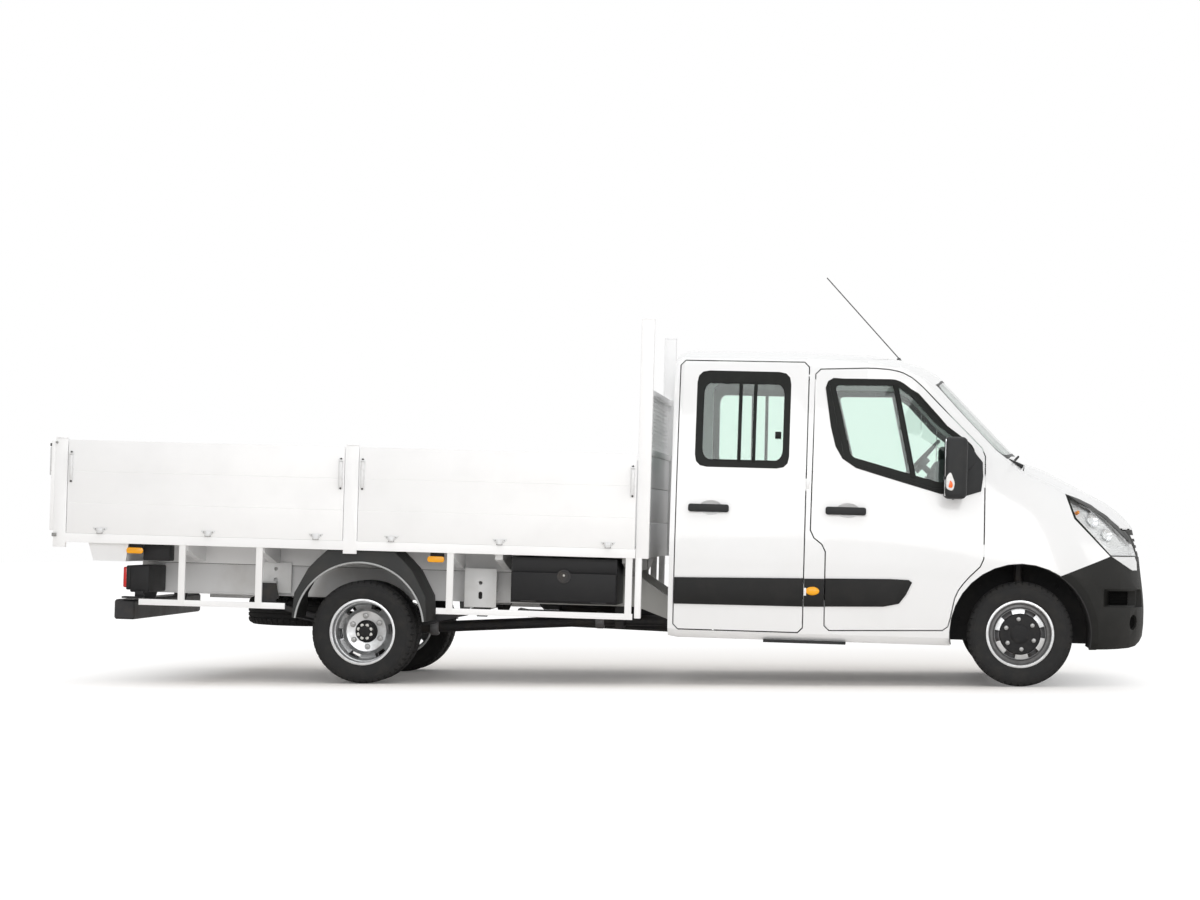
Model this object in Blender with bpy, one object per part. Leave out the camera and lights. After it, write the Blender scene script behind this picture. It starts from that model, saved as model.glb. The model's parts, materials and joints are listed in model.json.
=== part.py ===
# Double-cab chassis truck with a dropside tray body, twin rear wheels and right-hand drive.
# Metres, +X forward, +Y to the truck's left, +Z up, tyres standing on z = 0.
# The sprung part is drawn level, x from the rear axle and z from the ground, and then raked nose down.

import math

import bmesh
import bpy
from mathutils import Matrix, Vector

for old in list(bpy.data.objects):
    bpy.data.objects.remove(old, do_unlink=True)

# Clearances
FIT = 0.0003
DOOR_GAP = 0.008
PANEL_GAP = 0.006

# Wheels and tracks
WHEELBASE = 4.332
RIM_RADIUS = 0.212
RIM_WIDTH = 0.158
TYRE_WALL = 0.1305
TYRE_RADIUS = RIM_RADIUS + TYRE_WALL
TYRE_WIDTH = 0.196
FRONT_TRACK = 1.750
REAR_TRACK = 1.612
DUAL_SPACING = 0.220
STUB_RADIUS = 0.0305
WHEEL_STEPS = 24
SPARE_STEPS = 24
KNUCKLE_HALF = 0.025
KINGPIN_Y = FRONT_TRACK / 2 - 0.075

# Stance
RAKE = math.radians(1.6)
NOSE_X = 5.175
TAIL_X = -2.152

# Chassis frame
RAIL_Y = 0.43
RAIL_THICK = 0.060
RAIL_TOP = 0.760
RAIL_BOTTOM = 0.550
RAIL_TAIL = -1.640
RAIL_NOSE = 4.800
KICK_X = 1.780
KICK_RUN = 0.250
CAB_RAIL_TOP = 0.600
CAB_RAIL_BOTTOM = 0.460
CROSS_MEMBERS = (-1.58, -0.64, 0.86, 1.70)
CAB_CROSS_MEMBERS = (2.60, 3.06)

# Tray
TRAY_FRONT = 1.810
TRAY_REAR = -2.105
TRAY_HALF = 1.060
RAVE_WIDTH = 0.040
DECK_BOTTOM = 0.885
DECK_TOP = 0.945
SIDE_TOP = 1.570
SIDE_THICK = 0.027
SIDE_HINGE_OUT = 0.015
DROPSIDE_GAP = 0.0055
REAR_POST = (-2.105, -2.020)
CENTRE_POST = (-0.135, -0.045)
POST_TOP = 1.578
OUTRIGGERS = (-1.75, -1.22, -0.70, 0.58, 0.90, 1.745)
GUARD_LOW = 0.480
GUARD_HIGH = 0.520
GUARD_Y = TRAY_HALF - 0.015
LOCKER_TOP = DECK_BOTTOM - 0.0105
HEAD_POST = (TRAY_FRONT + FIT, 1.896)
HEAD_TOP = 2.466
HEAD_PANEL_TOP = 1.590
HEAD_MESH_TOP = 1.990
HEAD_POST_Y = (TRAY_HALF - 0.085, TRAY_HALF - 0.030)
HEAD_HALF = TRAY_HALF - 0.060
MESH_HALF = TRAY_HALF - 0.084
MESH_BARS = 9

# Cab
WALL = 0.050
DOOR_THICK = 0.074
DOOR_SKIN = 0.020
DOOR_STEP = 0.026
DOOR_CORNER = 0.030
HINGE_TALL = 0.080
HINGE_HEIGHTS = {"rear": (0.710, 1.400), "front": (1.000, 1.450)}
CAB_REAR = 2.030
CAB_FLOOR = 0.645
FIREWALL_X = 3.860
SCUTTLE_Z = 1.500
SCREEN_FOOT_X = 4.361
ARCH_RADIUS = 0.460
ARCH_STEPS = 32
LINER_THICK = 0.030
LINER_INNER_Y = RAIL_Y + RAIL_THICK + 0.030
STRUT_Y = LINER_INNER_Y + LINER_THICK + (KINGPIN_Y - KNUCKLE_HALF - LINER_INNER_Y - LINER_THICK) * 2 / 3

PARTS = bpy.data.collections.new("chassis_cab_truck")
CUTTERS = bpy.data.collections.new("cutters")
for group in (PARTS, CUTTERS):
    bpy.context.scene.collection.children.link(group)

# The ground frame is level; the raked frame turns about the rear axle's centre.
MID_X = 0.5 * (NOSE_X + TAIL_X) * math.cos(RAKE) + 0.010
ground = bpy.data.objects.new("ground_frame", None)
ground.location = (-MID_X, 0.0, 0.0)
raked = bpy.data.objects.new("raked_frame", None)
raked.parent = ground
raked.location = (0.0, 0.0, TYRE_RADIUS)
raked.rotation_euler = (0.0, RAKE, 0.0)
for empty in (ground, raked):
    CUTTERS.objects.link(empty)


# Finishes: colour, roughness, metallic
LOOKS = {
    "white_paint": ((0.86, 0.87, 0.87), 0.30, 0.0),
    "white_alloy": ((0.84, 0.85, 0.86), 0.42, 0.2),
    "grey_frame": ((0.62, 0.63, 0.64), 0.50, 0.3),
    "black_plastic": ((0.035, 0.036, 0.038), 0.60, 0.0),
    "black_steel": ((0.020, 0.020, 0.022), 0.50, 0.2),
    "tyre_rubber": ((0.018, 0.018, 0.019), 0.85, 0.0),
    "silver_wheel": ((0.62, 0.63, 0.65), 0.35, 0.7),
    "glass": ((0.30, 0.38, 0.35), 0.05, 0.0),
    "lamp": ((0.75, 0.78, 0.80), 0.10, 0.1),
    "red_lens": ((0.55, 0.02, 0.02), 0.15, 0.0),
    "seat_cloth": ((0.10, 0.10, 0.11), 0.90, 0.0),
    "dark_trim": ((0.06, 0.06, 0.065), 0.75, 0.0),
    "cast_metal": ((0.28, 0.28, 0.29), 0.55, 0.6),
}
materials = {}
for look, (colour, roughness, metallic) in LOOKS.items():
    surface = bpy.data.materials.new(look)
    surface.use_nodes = True
    shader = surface.node_tree.nodes["Principled BSDF"]
    shader.inputs["Base Color"].default_value = (*colour, 1.0)
    shader.inputs["Roughness"].default_value = roughness
    shader.inputs["Metallic"].default_value = metallic
    materials[look] = surface


def solid(bm, triangles=False):
    """A scene object from a bmesh, with its faces pointing out."""
    bmesh.ops.remove_doubles(bm, verts=bm.verts, dist=0.00002)
    if triangles:
        bmesh.ops.triangulate(bm, faces=bm.faces)
    bmesh.ops.recalc_face_normals(bm, faces=bm.faces)
    mesh = bpy.data.meshes.new("solid")
    bm.to_mesh(mesh)
    bm.free()
    made = bpy.data.objects.new("solid", mesh)
    CUTTERS.objects.link(made)
    return made


def block(x, y, z, bevel=0.0):
    """A box between pairs of limits."""
    bm = bmesh.new()
    size = Matrix.Diagonal((x[1] - x[0], y[1] - y[0], z[1] - z[0], 1.0))
    centre = Matrix.Translation((sum(x) / 2, sum(y) / 2, sum(z) / 2))
    bmesh.ops.create_cube(bm, size=1.0, matrix=centre @ size)
    if bevel:
        bmesh.ops.bevel(bm, geom=bm.edges[:], offset=bevel, segments=1, affect="EDGES")
    return solid(bm)


def rod(start, end, radius, steps=12, end_radius=None):
    """A round bar, or a cone where the end radius differs."""
    start, end = Vector(start), Vector(end)
    turn = Vector((0, 0, 1)).rotation_difference(end - start).to_matrix().to_4x4()
    bm = bmesh.new()
    bmesh.ops.create_cone(
        bm, cap_ends=True, segments=steps, radius1=radius,
        radius2=radius if end_radius is None else end_radius, depth=(end - start).length,
        matrix=Matrix.Translation((start + end) / 2) @ turn)
    return solid(bm)


def plate(outline, span, normal="Y"):
    """A flat outline with thickness: x, z points along Y; x, y along Z; y, z along X."""
    curve = bpy.data.curves.new("outline", "CURVE")
    curve.dimensions = "2D"
    curve.fill_mode = "BOTH"
    curve.extrude = (span[1] - span[0]) / 2
    line = curve.splines.new("POLY")
    line.points.add(len(outline) - 1)
    for point, (u, v) in zip(line.points, outline):
        point.co = (u, v, 0.0, 1.0)
    line.use_cyclic_u = True
    drawn = bpy.data.objects.new("outline", curve)
    CUTTERS.objects.link(drawn)
    turn = {
        "Z": Matrix.Identity(4),
        "Y": Matrix(((1, 0, 0, 0), (0, 0, -1, 0), (0, 1, 0, 0), (0, 0, 0, 1))),
        "X": Matrix(((0, 0, 1, 0), (1, 0, 0, 0), (0, 1, 0, 0), (0, 0, 0, 1))),
    }[normal]
    middle = (span[0] + span[1]) / 2
    lift = Vector({"X": (middle, 0, 0), "Y": (0, middle, 0), "Z": (0, 0, middle)}[normal])
    mesh = evaluated_mesh(drawn)
    bpy.data.objects.remove(drawn)
    bm = bmesh.new()
    bm.from_mesh(mesh)
    bmesh.ops.transform(bm, matrix=Matrix.Translation(lift) @ turn, verts=bm.verts)
    return solid(bm)


def evaluated_mesh(item):
    """The mesh of an object with its modifiers or its curve's bevel."""
    bpy.context.view_layer.update()
    graph = bpy.context.evaluated_depsgraph_get()
    return bpy.data.meshes.new_from_object(item.evaluated_get(graph))


def tube(points, radius, resolution=2):
    """A bent bar through the points."""
    curve = bpy.data.curves.new("tube", "CURVE")
    curve.dimensions = "3D"
    curve.bevel_depth = radius
    curve.bevel_resolution = resolution
    curve.use_fill_caps = True
    line = curve.splines.new("POLY")
    line.points.add(len(points) - 1)
    for point, place in zip(line.points, points):
        point.co = (*place, 1.0)
    drawn = bpy.data.objects.new("tube", curve)
    CUTTERS.objects.link(drawn)
    mesh = evaluated_mesh(drawn)
    bpy.data.objects.remove(drawn)
    bm = bmesh.new()
    bm.from_mesh(mesh)
    return solid(bm)


def turned(profile, centre, steps, axis="Y"):
    """A closed profile of radius and offset, turned about an axis through the centre.

    The radius is that of the flats, and one of them faces the ground.
    """
    bm = bmesh.new()
    half_step = math.pi / steps
    ring = [bm.verts.new((radius, offset, radius * math.tan(half_step))) for radius, offset in profile]
    for first, second in zip(ring, ring[1:] + ring[:1]):
        bm.edges.new((first, second))
    bmesh.ops.spin(bm, geom=bm.verts[:] + bm.edges[:], cent=(0, 0, 0), axis=(0, 1, 0),
                   angle=2 * math.pi, steps=steps, use_merge=True)
    if axis == "Z":
        bmesh.ops.rotate(bm, verts=bm.verts, matrix=Matrix.Rotation(math.pi / 2, 3, "X"))
    bmesh.ops.translate(bm, verts=bm.verts, vec=centre)
    return solid(bm)


def boolean(target, operation, tools):
    """Cuts, joins or intersects with each tool in turn; the tools are used up."""
    for tool in tools:
        step = target.modifiers.new(operation.title(), "BOOLEAN")
        step.operation = operation
        step.object = tool
        step.solver = "EXACT"
    mesh = evaluated_mesh(target)
    target.modifiers.clear()
    bm = bmesh.new()
    bm.from_mesh(mesh)
    bmesh.ops.dissolve_degenerate(bm, edges=bm.edges, dist=0.00003)
    bm.to_mesh(mesh)
    bm.free()
    target.data = mesh
    for tool in tools:
        bpy.data.objects.remove(tool)
    return target


def cut(target, *tools):
    return boolean(target, "DIFFERENCE", tools)


def join(target, *tools):
    return boolean(target, "UNION", tools)


def keep(target, *tools):
    return boolean(target, "INTERSECT", tools)


def twin(item):
    """A copy with its own mesh."""
    made = bpy.data.objects.new("copy", item.data.copy())
    CUTTERS.objects.link(made)
    return made


def mirrored(item):
    """The same piece for the other side of the truck."""
    made = twin(item)
    made.data.transform(Matrix.Diagonal((1, -1, 1, 1)))
    made.data.flip_normals()
    return made


def part(item, name, look, pivot=(0, 0, 0), frame=raked):
    """Names a piece, gives it its finish and hangs it on its frame with its origin on its joint."""
    item.name = name
    item.data.name = name
    item.data.materials.clear()
    item.data.materials.append(materials[look])
    item.data.transform(Matrix.Translation(-Vector(pivot)))
    item.parent = frame
    item.location = Vector(pivot) - Vector((0, 0, TYRE_RADIUS if frame is raked else 0))
    item.data.shade_smooth()
    item.data.set_sharp_from_angle(angle=math.radians(32))
    CUTTERS.objects.unlink(item)
    PARTS.objects.link(item)
    return item


def offset_outline(outline, gap):
    """The outline grown by a gap on all sides, or shrunk where the gap is negative."""
    count = len(outline)
    area = sum(outline[i][0] * outline[(i + 1) % count][1] - outline[(i + 1) % count][0] * outline[i][1]
               for i in range(count))
    turn = 1.0 if area > 0 else -1.0
    grown = []
    for i, point in enumerate(outline):
        here = Vector(point)
        before = (here - Vector(outline[i - 1])).normalized()
        after = (Vector(outline[(i + 1) % count]) - here).normalized()
        out_before = Vector((before.y, -before.x)) * turn
        out_after = Vector((after.y, -after.x)) * turn
        middle = (out_before + out_after).normalized()
        grown.append(tuple(here + middle * gap / max(0.35, middle.dot(out_before))))
    return grown


def rounded(outline, radius, steps=3):
    """The outline with each corner turned into an arc."""
    result = []
    count = len(outline)
    for i, point in enumerate(outline):
        here = Vector(point)
        back = Vector(outline[i - 1]) - here
        ahead = Vector(outline[(i + 1) % count]) - here
        reach = min(radius, back.length / 2.2, ahead.length / 2.2)
        start, end = here + back.normalized() * reach, here + ahead.normalized() * reach
        for step in range(steps + 1):
            t = step / steps
            result.append(tuple(start * (1 - t) ** 2 + here * 2 * t * (1 - t) + end * t ** 2))
    return result


# Cab body: sections across the truck.
# x, lean (x part of the outward normal), floor z, waist z, waist half width,
# shoulder z, shoulder half width, crown z
CAB_SECTIONS = (
    (2.030, -1.0, 0.385, 0.95, 1.027, 2.190, 0.875, 2.292),
    (2.095, -1.0, 0.375, 0.95, 1.035, 2.220, 0.887, 2.315),
    (2.900, 0.0, 0.375, 0.95, 1.035, 2.225, 0.887, 2.322),
    (3.300, 0.0, 0.375, 0.95, 1.035, 2.215, 0.885, 2.305),
    (3.510, 0.1, 0.375, 0.95, 1.035, 2.190, 0.880, 2.276),
    (3.660, 0.3, 0.375, 0.95, 1.034, 2.120, 0.872, 2.236),
    (3.766, 0.5, 0.375, 0.95, 1.033, 2.030, 0.872, 2.183),
    (3.950, 0.5, 0.375, 0.94, 1.031, 1.845, 0.880, 1.998),
    (4.150, 0.5, 0.375, 0.92, 1.028, 1.640, 0.895, 1.797),
    (4.343, 0.4, 0.375, 0.90, 1.020, 1.500, 0.905, 1.603),
    (4.480, 0.3, 0.375, 0.88, 1.010, 1.440, 0.890, 1.560),
    (4.617, 0.3, 0.374, 0.86, 0.992, 1.375, 0.865, 1.492),
    (4.780, 0.4, 0.374, 0.83, 0.957, 1.290, 0.820, 1.412),
    (4.893, 0.5, 0.376, 0.80, 0.912, 1.205, 0.775, 1.358),
    (4.973, 0.6, 0.380, 0.77, 0.862, 1.125, 0.720, 1.308),
    (5.050, 0.7, 0.386, 0.73, 0.782, 1.030, 0.640, 1.245),
    (5.099, 0.8, 0.398, 0.69, 0.700, 0.950, 0.555, 1.190),
    (5.135, 0.9, 0.425, 0.66, 0.600, 0.860, 0.470, 1.060),
    (5.163, 1.0, 0.458, 0.62, 0.470, 0.740, 0.370, 0.860),
    (NOSE_X, 1.0, 0.490, 0.60, 0.330, 0.670, 0.260, 0.720),
)
SILL_TUCK = 0.035
SIDE_STEPS = (0.34, 0.67, 1.0)
CROWN_STEPS = (0.94, 0.82, 0.60, 0.32, 0.0)


def half_section(floor, waist_z, waist, shoulder_z, shoulder, crown):
    """One side of a section, from the middle of the floor to the crown."""
    sill = waist - SILL_TUCK
    line = [(0.0, floor), (sill - 0.05, floor), (sill, floor + 0.05),
            (waist - 0.006, (floor + waist_z) / 2), (waist, waist_z)]
    for t in SIDE_STEPS:
        line.append((waist - (waist - shoulder) * t ** 1.6, waist_z + (shoulder_z - waist_z) * t))
    for t in CROWN_STEPS:
        line.append((shoulder * t, shoulder_z + (crown - shoulder_z) * (1 - t ** 2.4)))
    return line


def cab_form(depth=0.0, open_floor=False, open_rear=False, coarse=False):
    """The cab's outer form, drawn in by a depth; an open floor or rear runs on past the body."""
    bm = bmesh.new()
    rings = []
    sections = CAB_SECTIONS[:3] + CAB_SECTIONS[4::2] if coarse else CAB_SECTIONS
    if sections[-1] != CAB_SECTIONS[-1]:
        sections += CAB_SECTIONS[-1:]
    for x, lean, floor, waist_z, waist, shoulder_z, shoulder, crown in sections:
        if open_rear and x == CAB_REAR:
            x -= 0.30
        half = half_section(floor, waist_z, waist, shoulder_z, shoulder, crown)
        drawn_in = depth * max(0.45, math.sqrt(1 - min(1.0, max(0.0, lean)) ** 2))
        grown = offset_outline([(-y, z) for y, z in half[1:-1]][::-1] + half, -drawn_in)
        if open_floor:
            lowest = min(z for y, z in grown)
            grown = [(y, z - 0.30 if z < lowest + 0.03 else z) for y, z in grown]
        rings.append([bm.verts.new((x - lean * depth, y, z)) for y, z in grown])
    for one, two in zip(rings, rings[1:]):
        for i in range(len(one)):
            j = (i + 1) % len(one)
            bm.faces.new((one[i], one[j], two[j], two[i]))
    bm.faces.new(rings[0])
    bm.faces.new(rings[-1])
    return solid(bm, triangles=True)


# Cab openings, as seen from the side: x, z
REAR_DOOR = ((2.070, 0.434), (2.912, 0.434), (2.912, 2.205), (2.070, 2.200))
REAR_WINDOW = ((2.180, 1.500), (2.800, 1.500), (2.800, 2.140), (2.180, 2.140))
FRONT_DOOR = (
    (3.061, 0.453), (3.849, 0.478), (3.866, 0.530), (3.901, 0.714), (3.969, 0.810), (4.078, 0.918),
    (4.076, 1.645), (3.841, 1.879), (3.640, 2.080), (3.560, 2.140), (3.467, 2.168), (3.327, 2.176),
    (2.963, 2.160), (2.956, 1.074), (3.057, 0.996))
FRONT_WINDOW = (
    (3.166, 1.556), (3.790, 1.385), (4.020, 1.560), (4.010, 1.680), (3.778, 1.847), (3.600, 2.040),
    (3.500, 2.110), (3.040, 2.105))
BUMPER = ((4.500, 0.815), (4.905, 0.984), (5.300, 0.984), (5.300, 0.300), (4.500, 0.300))
HEADLAMP = (
    (4.605, 1.385), (4.665, 1.225), (4.905, 0.9843), (5.300, 0.9843), (5.300, 1.100), (5.060, 1.150),
    (4.935, 1.250), (4.782, 1.330))
# Hollow behind the bumper as seen from above: x, y
BUMPER_HOLLOW = ((4.30, 0.870), (4.700, 0.850), (4.880, 0.760), (4.990, 0.600), (5.045, 0.420), (5.060, 0.0))
BONNET_HINGE = (4.240, 0.0, 1.569)
# Rubber buffers on the grille's top edge, ahead of the hollow, that carry the closed bonnet
BUFFER_RADIUS = 0.008
BUFFER_AHEAD = 0.019
BUFFER_Y = 0.300
LAMP_INNER_Y = 0.505
LAMP_GAP = 0.011
GRILLE_TOP = 1.165
# Bonnet as seen from above: x, y
BONNET = ((4.372, 0.0), (4.360, 0.45), (4.335, 0.815), (4.480, 0.800), (4.700, 0.745), (4.900, 0.650),
          (5.020, 0.560), (5.300, 0.500))
# Windscreen and rear screen as seen from the front: y, z
WINDSCREEN = ((0.0, 1.640), (0.60, 1.628), (0.845, 1.605), (0.815, 1.900), (0.770, 2.085), (0.50, 2.125),
              (0.0, 2.150))
REAR_SCREEN = ((-0.60, 1.480), (0.60, 1.480), (0.56, 1.960), (-0.56, 1.960))


def both_halves(half):
    """A symmetric outline from the points of one half."""
    other = [(u, -v) for u, v in reversed(half) if v > 0]
    return list(half) + other


def raked_height(x, z):
    """The height over the ground of a point of the raked body."""
    return TYRE_RADIUS - x * math.sin(RAKE) + (z - TYRE_RADIUS) * math.cos(RAKE)


def wheel_arch(radius, inner, side):
    """A cylinder across one front wheel's arch."""
    wheel = body_point(WHEELBASE, TYRE_RADIUS)
    return rod((wheel[0], side * inner, wheel[1]), (wheel[0], side * 1.3, wheel[1]), radius, ARCH_STEPS)


def body_point(x, z):
    """Where a level point over the ground lies in the raked body."""
    rise = z - TYRE_RADIUS
    c, s = math.cos(RAKE), math.sin(RAKE)
    return (x * c - rise * s, x * s + rise * c + TYRE_RADIUS)


ARCH_X, ARCH_Z = body_point(WHEELBASE, TYRE_RADIUS)


def make_cab_shell():
    """The fixed body of the cab: floor, sills, pillars, roof, wings and bulkhead."""
    shell = cab_form()
    wide = (-1.3, 1.3)
    rooms = cab_form(WALL, open_floor=True, coarse=True)
    solids = (
        ((CAB_REAR - 0.1, FIREWALL_X + WALL), (0.0, CAB_FLOOR)),
        ((FIREWALL_X, FIREWALL_X + WALL), (0.0, SCUTTLE_Z)),
        ((FIREWALL_X, SCREEN_FOOT_X), (SCUTTLE_Z - 0.040, SCUTTLE_Z)),
        ((SCREEN_FOOT_X - 0.016, SCREEN_FOOT_X), (SCUTTLE_Z - 0.040, 3.0)),
    )
    for along, upright in solids:
        rooms = cut(rooms, block(along, wide, upright))
    shell = cut(shell, rooms)
    shell = cut(shell, block((CAB_REAR - 0.1, FIREWALL_X + WALL + 0.01), (-0.90, 0.90),
                             (0.0, CAB_RAIL_TOP + FIT)))
    for side in (-1, 1):
        liner = wheel_arch(ARCH_RADIUS + LINER_THICK, LINER_INNER_Y, side)
        shell = join(shell, keep(cab_form(WALL - 0.004), liner))
        shell = cut(shell, wheel_arch(ARCH_RADIUS, LINER_INNER_Y + LINER_THICK, side))
    for outline in (REAR_DOOR, FRONT_DOOR):
        hole = offset_outline(rounded(outline, DOOR_CORNER, 1), DOOR_GAP)
        for side in (-1, 1):
            span = sorted((side * 0.5, side * 1.3))
            aperture = cut(plate(hole, span), cab_form(DOOR_THICK + PANEL_GAP, open_rear=True, coarse=True))
            shell = cut(shell, aperture)
    shell = cut(shell, plate(BUMPER, wide))
    lamps = plate(HEADLAMP, wide)
    shell = cut(shell, lamps)
    shell = cut(shell, block((4.80, 5.40), (-LAMP_INNER_Y - 0.02, LAMP_INNER_Y + 0.02), (0.95, GRILLE_TOP)))
    opening = offset_outline(both_halves(BONNET), PANEL_GAP)
    shell = cut(shell, plate(opening, (1.10, 2.0), "Z"))
    screen = both_halves_front(WINDSCREEN)
    shell = cut(shell, plate(screen, (3.70, 4.50), "X"))
    shell = cut(shell, plate(rounded(REAR_SCREEN, 0.06), (CAB_REAR - 0.1, CAB_REAR + 0.15), "X"))
    return shell


def both_halves_front(half):
    """A symmetric outline across the truck from the points of one half."""
    other = [(-y, z) for y, z in reversed(half) if y > 0]
    return list(half) + other


def make_door(outline, window):
    """A right-hand door: outer skin, deeper inner frame, and its window cut through."""
    door = keep(cab_form(), plate(outline, (-1.3, -0.5)))
    door = cut(door, cab_form(DOOR_THICK, open_rear=True, coarse=True))
    frame_zone = plate(offset_outline(outline, -DOOR_STEP), (-1.4, -0.4))
    beside = plate(offset_outline(outline, 0.02), (-1.35, -0.45))
    rim = cut(keep(cab_form(DOOR_SKIN, open_rear=True), beside), frame_zone)
    door = cut(door, rim)
    return cut(door, plate(window, (-1.4, -0.4)))


def make_pane(outline, span, normal, outer, inner, keep_gap=FIT):
    """A pane that fills an opening, between two depths of the cab's form."""
    pane = keep(cab_form(outer), plate(offset_outline(outline, -keep_gap), span, normal))
    return cut(pane, cab_form(inner))


def door_leaf(span, height):
    """One leaf that follows the door's skin in its front gap."""
    slab = block(span, (-1.3, -0.7), (height - HINGE_TALL / 2, height + HINGE_TALL / 2))
    return cut(keep(cab_form(0.003), slab), cab_form(DOOR_SKIN - 0.002))


def make_cab():
    shell = make_cab_shell()
    for name, outline, window in (("rear", REAR_DOOR, rounded(REAR_WINDOW, 0.08)),
                                  ("front", FRONT_DOOR, rounded(FRONT_WINDOW, 0.05))):
        hinge_x = max(x for x, z in outline) + DOOR_GAP / 2
        hinge_y = max(row[4] for row in CAB_SECTIONS)
        outline = rounded(outline, DOOR_CORNER, 1)
        door = make_door(outline, window)
        for height in HINGE_HEIGHTS[name]:
            door = join(door, door_leaf((hinge_x - DOOR_GAP, hinge_x - FIT / 2), height))
            leaf = door_leaf((hinge_x + FIT / 2, hinge_x + DOOR_GAP), height)
            shell = join(shell, mirrored(leaf))
            shell = join(shell, leaf)
        pane = make_pane(window, (-1.3, -0.5), "Y", 0.010, 0.017)
        for side, door_piece, pane_piece in ((1, mirrored(door), mirrored(pane)), (-1, door, pane)):
            label = "left" if side > 0 else "right"
            pivot = (hinge_x, side * hinge_y, ARCH_Z)
            part(door_piece, f"door_{name}_{label}", "white_paint", pivot)
            part(pane_piece, f"door_glass_{name}_{label}", "glass", pivot)
    part(make_pane(both_halves_front(WINDSCREEN), (3.70, 4.50), "X", 0.004, 0.012), "windscreen", "glass")
    back = cut(keep(cab_form(0.010), plate(offset_outline(rounded(REAR_SCREEN, 0.06), -FIT), (1.9, 2.3), "X")),
               block((CAB_REAR + 0.016, 2.4), (-1, 1), (1, 3)))
    part(back, "rear_window", "glass")
    part(shell, "cab_shell", "white_paint")


def make_bonnet():
    lid = keep(cab_form(), plate(both_halves(BONNET), (1.10, 2.0), "Z"),
               block((4.0, 5.4), (-1.3, 1.3), (GRILLE_TOP + PANEL_GAP, 2.0)))
    lid = cut(lid, cab_form(0.025))
    part(lid, "bonnet", "white_paint", BONNET_HINGE)


def make_front_end():
    bumper = keep(cab_form(), plate(offset_outline(BUMPER, -FIT), (-1.3, 1.3)))
    bumper = cut(bumper, plate(both_halves(BUMPER_HOLLOW), (0.20, 1.30), "Z"))
    for side in (-1, 1):
        bumper = cut(bumper, wheel_arch(ARCH_RADIUS, LINER_INNER_Y, side))
    intake = block((5.0, 5.4), (-0.42, 0.42), (0.52, 0.64))
    bumper = cut(bumper, intake)
    grille = keep(cab_form(0.004), block((4.85, 5.4), (-LAMP_INNER_Y + 0.005, LAMP_INNER_Y - 0.005),
                                         (0.960, GRILLE_TOP)))
    grille = cut(grille, plate(both_halves(BUMPER_HOLLOW), (0.80, 1.30), "Z"))
    for z in (1.020, 1.062, 1.104):
        grille = cut(grille, block((4.7, 5.4), (-0.40, 0.40), (z, z + 0.024)))
    for side in (-1, 1):
        spot = (BUMPER_HOLLOW[-2][0] + BUFFER_AHEAD, side * BUFFER_Y)
        grille = join(grille, rod((*spot, GRILLE_TOP - 0.02), (*spot, GRILLE_TOP + PANEL_GAP - FIT),
                                  BUFFER_RADIUS, 8))
    part(join(bumper, grille), "front_bumper", "black_plastic")
    lamp = keep(cab_form(0.002), plate(offset_outline(HEADLAMP, -FIT), (-1.3, -LAMP_INNER_Y)))
    lamp = cut(lamp, cab_form(0.090, coarse=True))
    lamp = cut(lamp, plate(offset_outline(both_halves(BONNET), LAMP_GAP), (GRILLE_TOP - 0.01, 2.0), "Z"))
    part(mirrored(lamp), "headlamp_left", "lamp")
    part(lamp, "headlamp_right", "lamp")


def make_frame():
    """Two rails that kick down under the cab, with their cross-members."""
    side_view = [
        (RAIL_TAIL, RAIL_BOTTOM), (KICK_X, RAIL_BOTTOM), (KICK_X + KICK_RUN, CAB_RAIL_BOTTOM),
        (RAIL_NOSE, CAB_RAIL_BOTTOM), (RAIL_NOSE, CAB_RAIL_TOP), (KICK_X + KICK_RUN, CAB_RAIL_TOP),
        (KICK_X, RAIL_TOP), (RAIL_TAIL, RAIL_TOP)]
    low, high = RAIL_Y - RAIL_THICK / 2, RAIL_Y + RAIL_THICK / 2
    frame = plate(side_view, (low, high))
    frame = join(frame, plate(side_view, (-high, -low)))
    for x in CROSS_MEMBERS:
        frame = join(frame, block((x - 0.04, x + 0.04), (-RAIL_Y, RAIL_Y), (RAIL_BOTTOM + 0.04, RAIL_TOP - 0.04)))
    for x in CAB_CROSS_MEMBERS:
        frame = join(frame, block((x - 0.04, x + 0.04), (-RAIL_Y, RAIL_Y),
                                  (CAB_RAIL_TOP - 0.070, CAB_RAIL_TOP - 0.010)))
    for side in (-1, 1):
        for x in SPRING_ENDS:
            span = sorted((side * RAIL_Y, side * (SPRING_Y + SPRING_WIDTH / 2)))
            frame = join(frame, block((x - 0.05, x + 0.05), span, (SPRING_EYE_Z + 0.03, RAIL_BOTTOM + 0.10)))
        for x, low_z, wide in BRACKETS:
            span = sorted((side * RAIL_Y, side * BRACKET_Y))
            frame = join(frame, block((x - wide / 2, x + wide / 2), span, (low_z, RAIL_TOP - 0.02)))
    spare_x, spare_z = SPARE_CENTRE
    frame = join(frame, rod((spare_x, 0, RAIL_BOTTOM + 0.10), (spare_x, 0, spare_z + SPARE_DISC + FIT),
                            0.045))
    part(frame, "chassis_frame", "grey_frame")


SPRING_Y = 0.505
SPRING_WIDTH = 0.070
SPRING_EYE_Z = 0.500
SPRING_ENDS = (-0.74, 0.74)
BRACKET_Y = 0.470
# Body mounting brackets on the rails: x, low z, width
BRACKETS = ((-0.70, 0.575, 0.20), (0.70, 0.510, 0.20))
SPARE_CENTRE = (-0.640, 0.437)
SPARE_DISC = 0.010


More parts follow.
